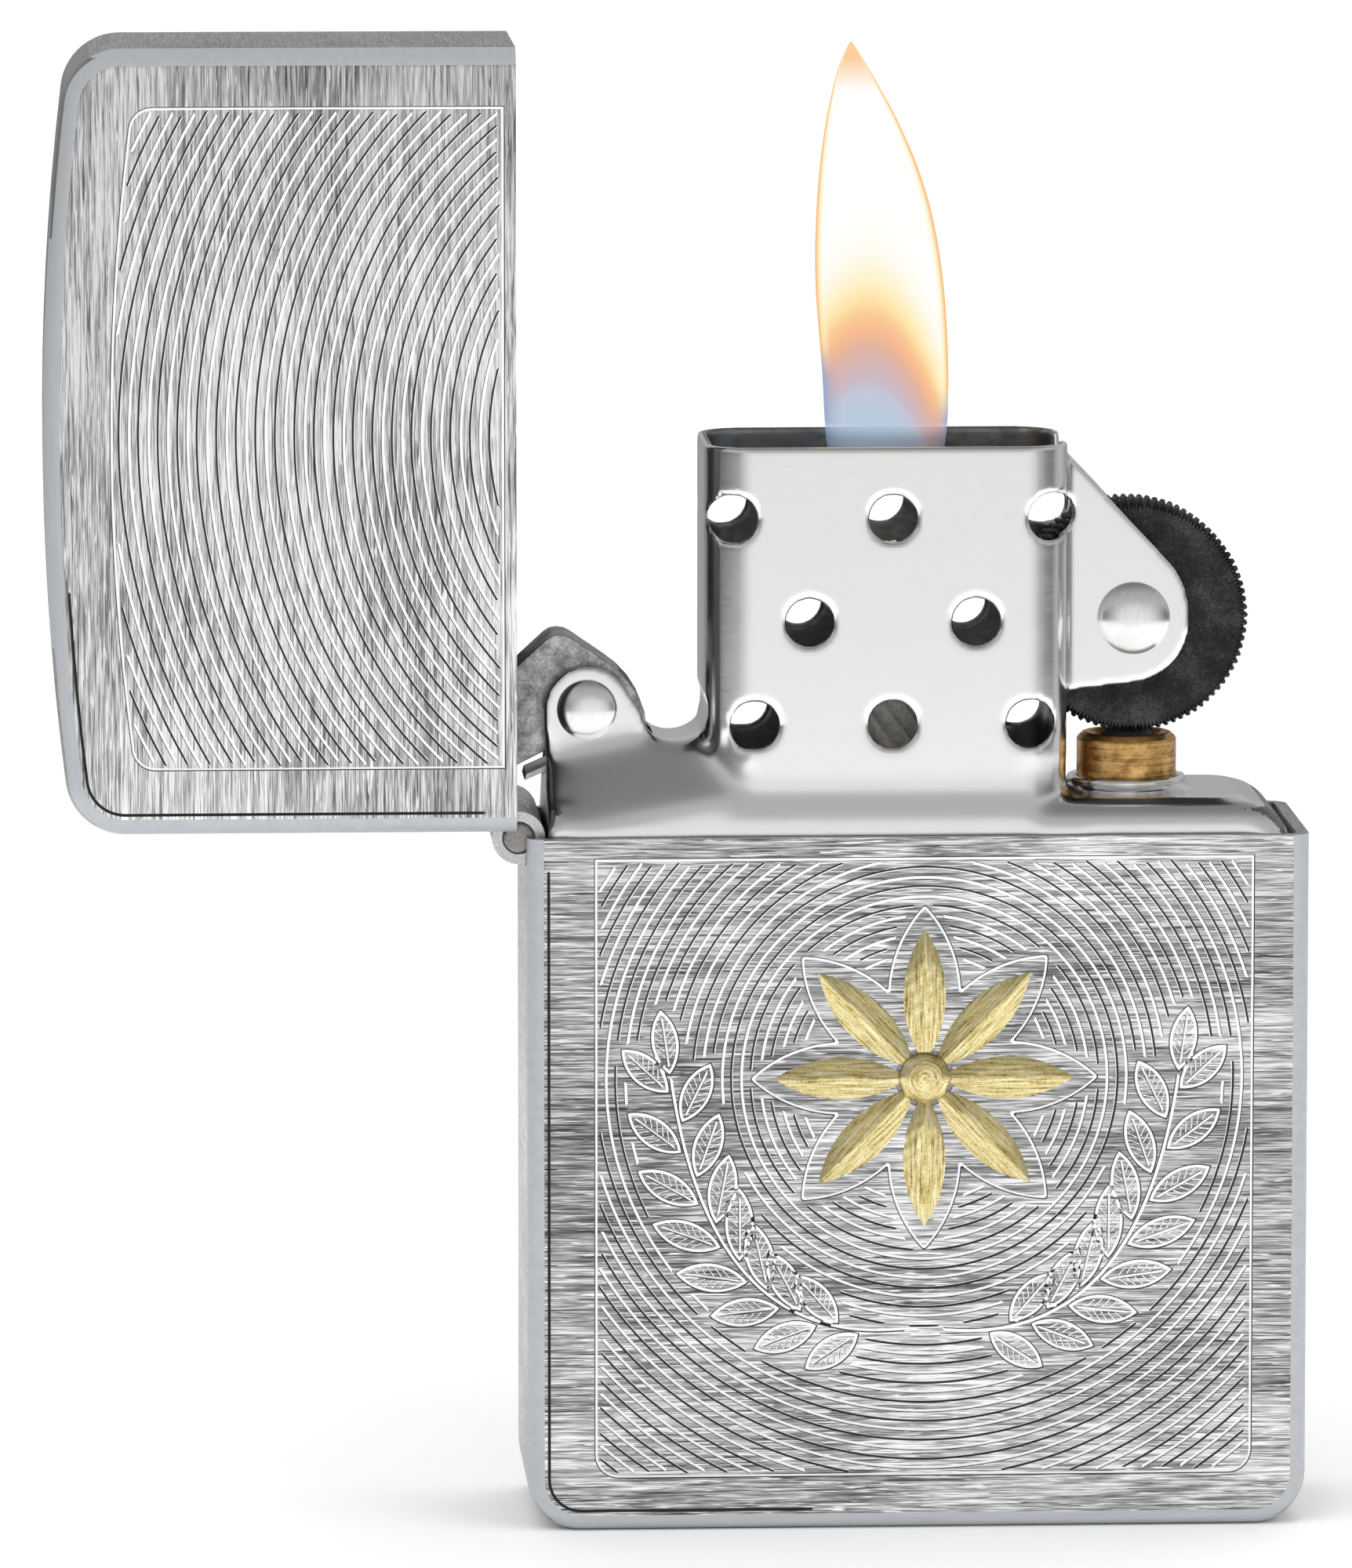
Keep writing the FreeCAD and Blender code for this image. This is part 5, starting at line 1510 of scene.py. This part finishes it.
def reflector():
    """Light tent that only polished metal sees: pale in front, grey above, dark flags to both sides."""
    verts, faces = [], []
    nu, nv, rad = 64, 24, 260.0
    for i in range(nu):
        a = 2 * math.pi * i / nu
        for j in range(nv + 1):
            e = math.radians(-12 + 102 * j / nv)
            verts.append((rad * math.cos(e) * math.sin(a), -rad * math.cos(e) * math.cos(a), 45 + rad * math.sin(e)))
    row = nv + 1
    for i in range(nu):
        for j in range(nv):
            a, b = i * row + j, ((i + 1) % nu) * row + j
            faces.append((a, b, b + 1, a + 1))
    k = Mat("light_tent")
    k.nt.nodes.remove(k.bsdf)
    sep = k.node("ShaderNodeSeparateXYZ")
    k.link(k.tc, "Object", sep, "Vector")
    ny = k.math("MULTIPLY", sep, -1.0, ao=1)
    az = k.math("ADD", k.math("DIVIDE", k.math("ARCTAN2", sep, ny, ao=0), 2 * math.pi), 0.5)
    stops = [(-180, 0.38), (-140, 0.22), (-105, 0.12), (-75, 0.13), (-50, 0.20), (-32, 0.31), (-21, 0.50), (-11, 0.72), (-4, 0.86),
             (16, 0.86), (31, 0.69), (42, 0.47), (55, 0.27), (72, 0.16), (84, 0.19), (94, 0.42), (114, 0.50), (138, 0.30), (165, 0.38)]
    round_ = k.ramp(az, [(0.5 + p / 360.0, c) for p, c in stops])
    zz = k.math("DIVIDE", k.math("SUBTRACT", sep, 0.045, ao=2), 0.26)
    high = k.ramp(zz, [(0.04, 0.0), (0.26, 1.0)])
    up = k.ramp(zz, [(0.30, 0.50), (0.55, 0.44), (0.80, 0.28), (1.0, 0.20)])
    col = k.mix(high, round_, up)
    em = k.node("ShaderNodeEmission", Strength=1.0)
    k.nt.links.new(col.outputs[2], em.inputs["Color"])
    k.nt.links.new(em.outputs[0], k.out.inputs["Surface"])
    ob = new_object("light_tent", verts, faces, [k.m])
    for p in ob.data.polygons:
        p.use_smooth = True
    ob.visible_camera = False
    ob.visible_diffuse = False
    ob.visible_shadow = False
    ob.visible_transmission = False
    ob.visible_volume_scatter = False


reflector()


def area(name, loc, target, size, power, size_y=None, color=(1, 1, 1)):
    li = bpy.data.lights.new(name, "AREA")
    li.shape = "RECTANGLE"
    li.size, li.size_y = size, size_y or size
    li.energy = power
    li.color = color
    ob = bpy.data.objects.new(name, li)
    bpy.context.scene.collection.objects.link(ob)
    ob.location = loc
    ob.rotation_euler = (Vector(target) - Vector(loc)).to_track_quat("-Z", "Y").to_euler()
    ob.visible_glossy = False
    return ob


area("key_softbox", (-0.35, -0.55, 0.75), (0, 0, 0.04), 0.6, 2.6)
area("fill_softbox", (0.55, -0.5, 0.45), (0, 0, 0.04), 0.5, 1.4)
area("top_softbox", (0.0, 0.1, 0.9), (0, 0, 0.03), 0.7, 2.2)

bpy.context.scene.view_settings.view_transform = "Standard"

# camera: the photograph's angle
AZ, EL, DIST = -3.0, 7.5, 0.60
TARGET = Vector((-11.83 * MM, FRONT * MM, 36.8 * MM))
cam_data = bpy.data.cameras.new("camera")
cam_ob = bpy.data.objects.new("camera", cam_data)
bpy.context.scene.collection.objects.link(cam_ob)
d = Vector((math.sin(math.radians(AZ)) * math.cos(math.radians(EL)),
            -math.cos(math.radians(AZ)) * math.cos(math.radians(EL)),
            math.sin(math.radians(EL))))
cam_ob.location = TARGET + d * DIST
cam_ob.rotation_euler = (-d).to_track_quat("-Z", "Y").to_euler()
cam_data.sensor_width = 36.0
cam_data.sensor_fit = "AUTO"
cam_data.lens = 36.0 * DIST / (75.95 * MM)
cam_data.clip_start = 0.01
cam_data.clip_end = 10.0
bpy.context.scene.camera = cam_ob
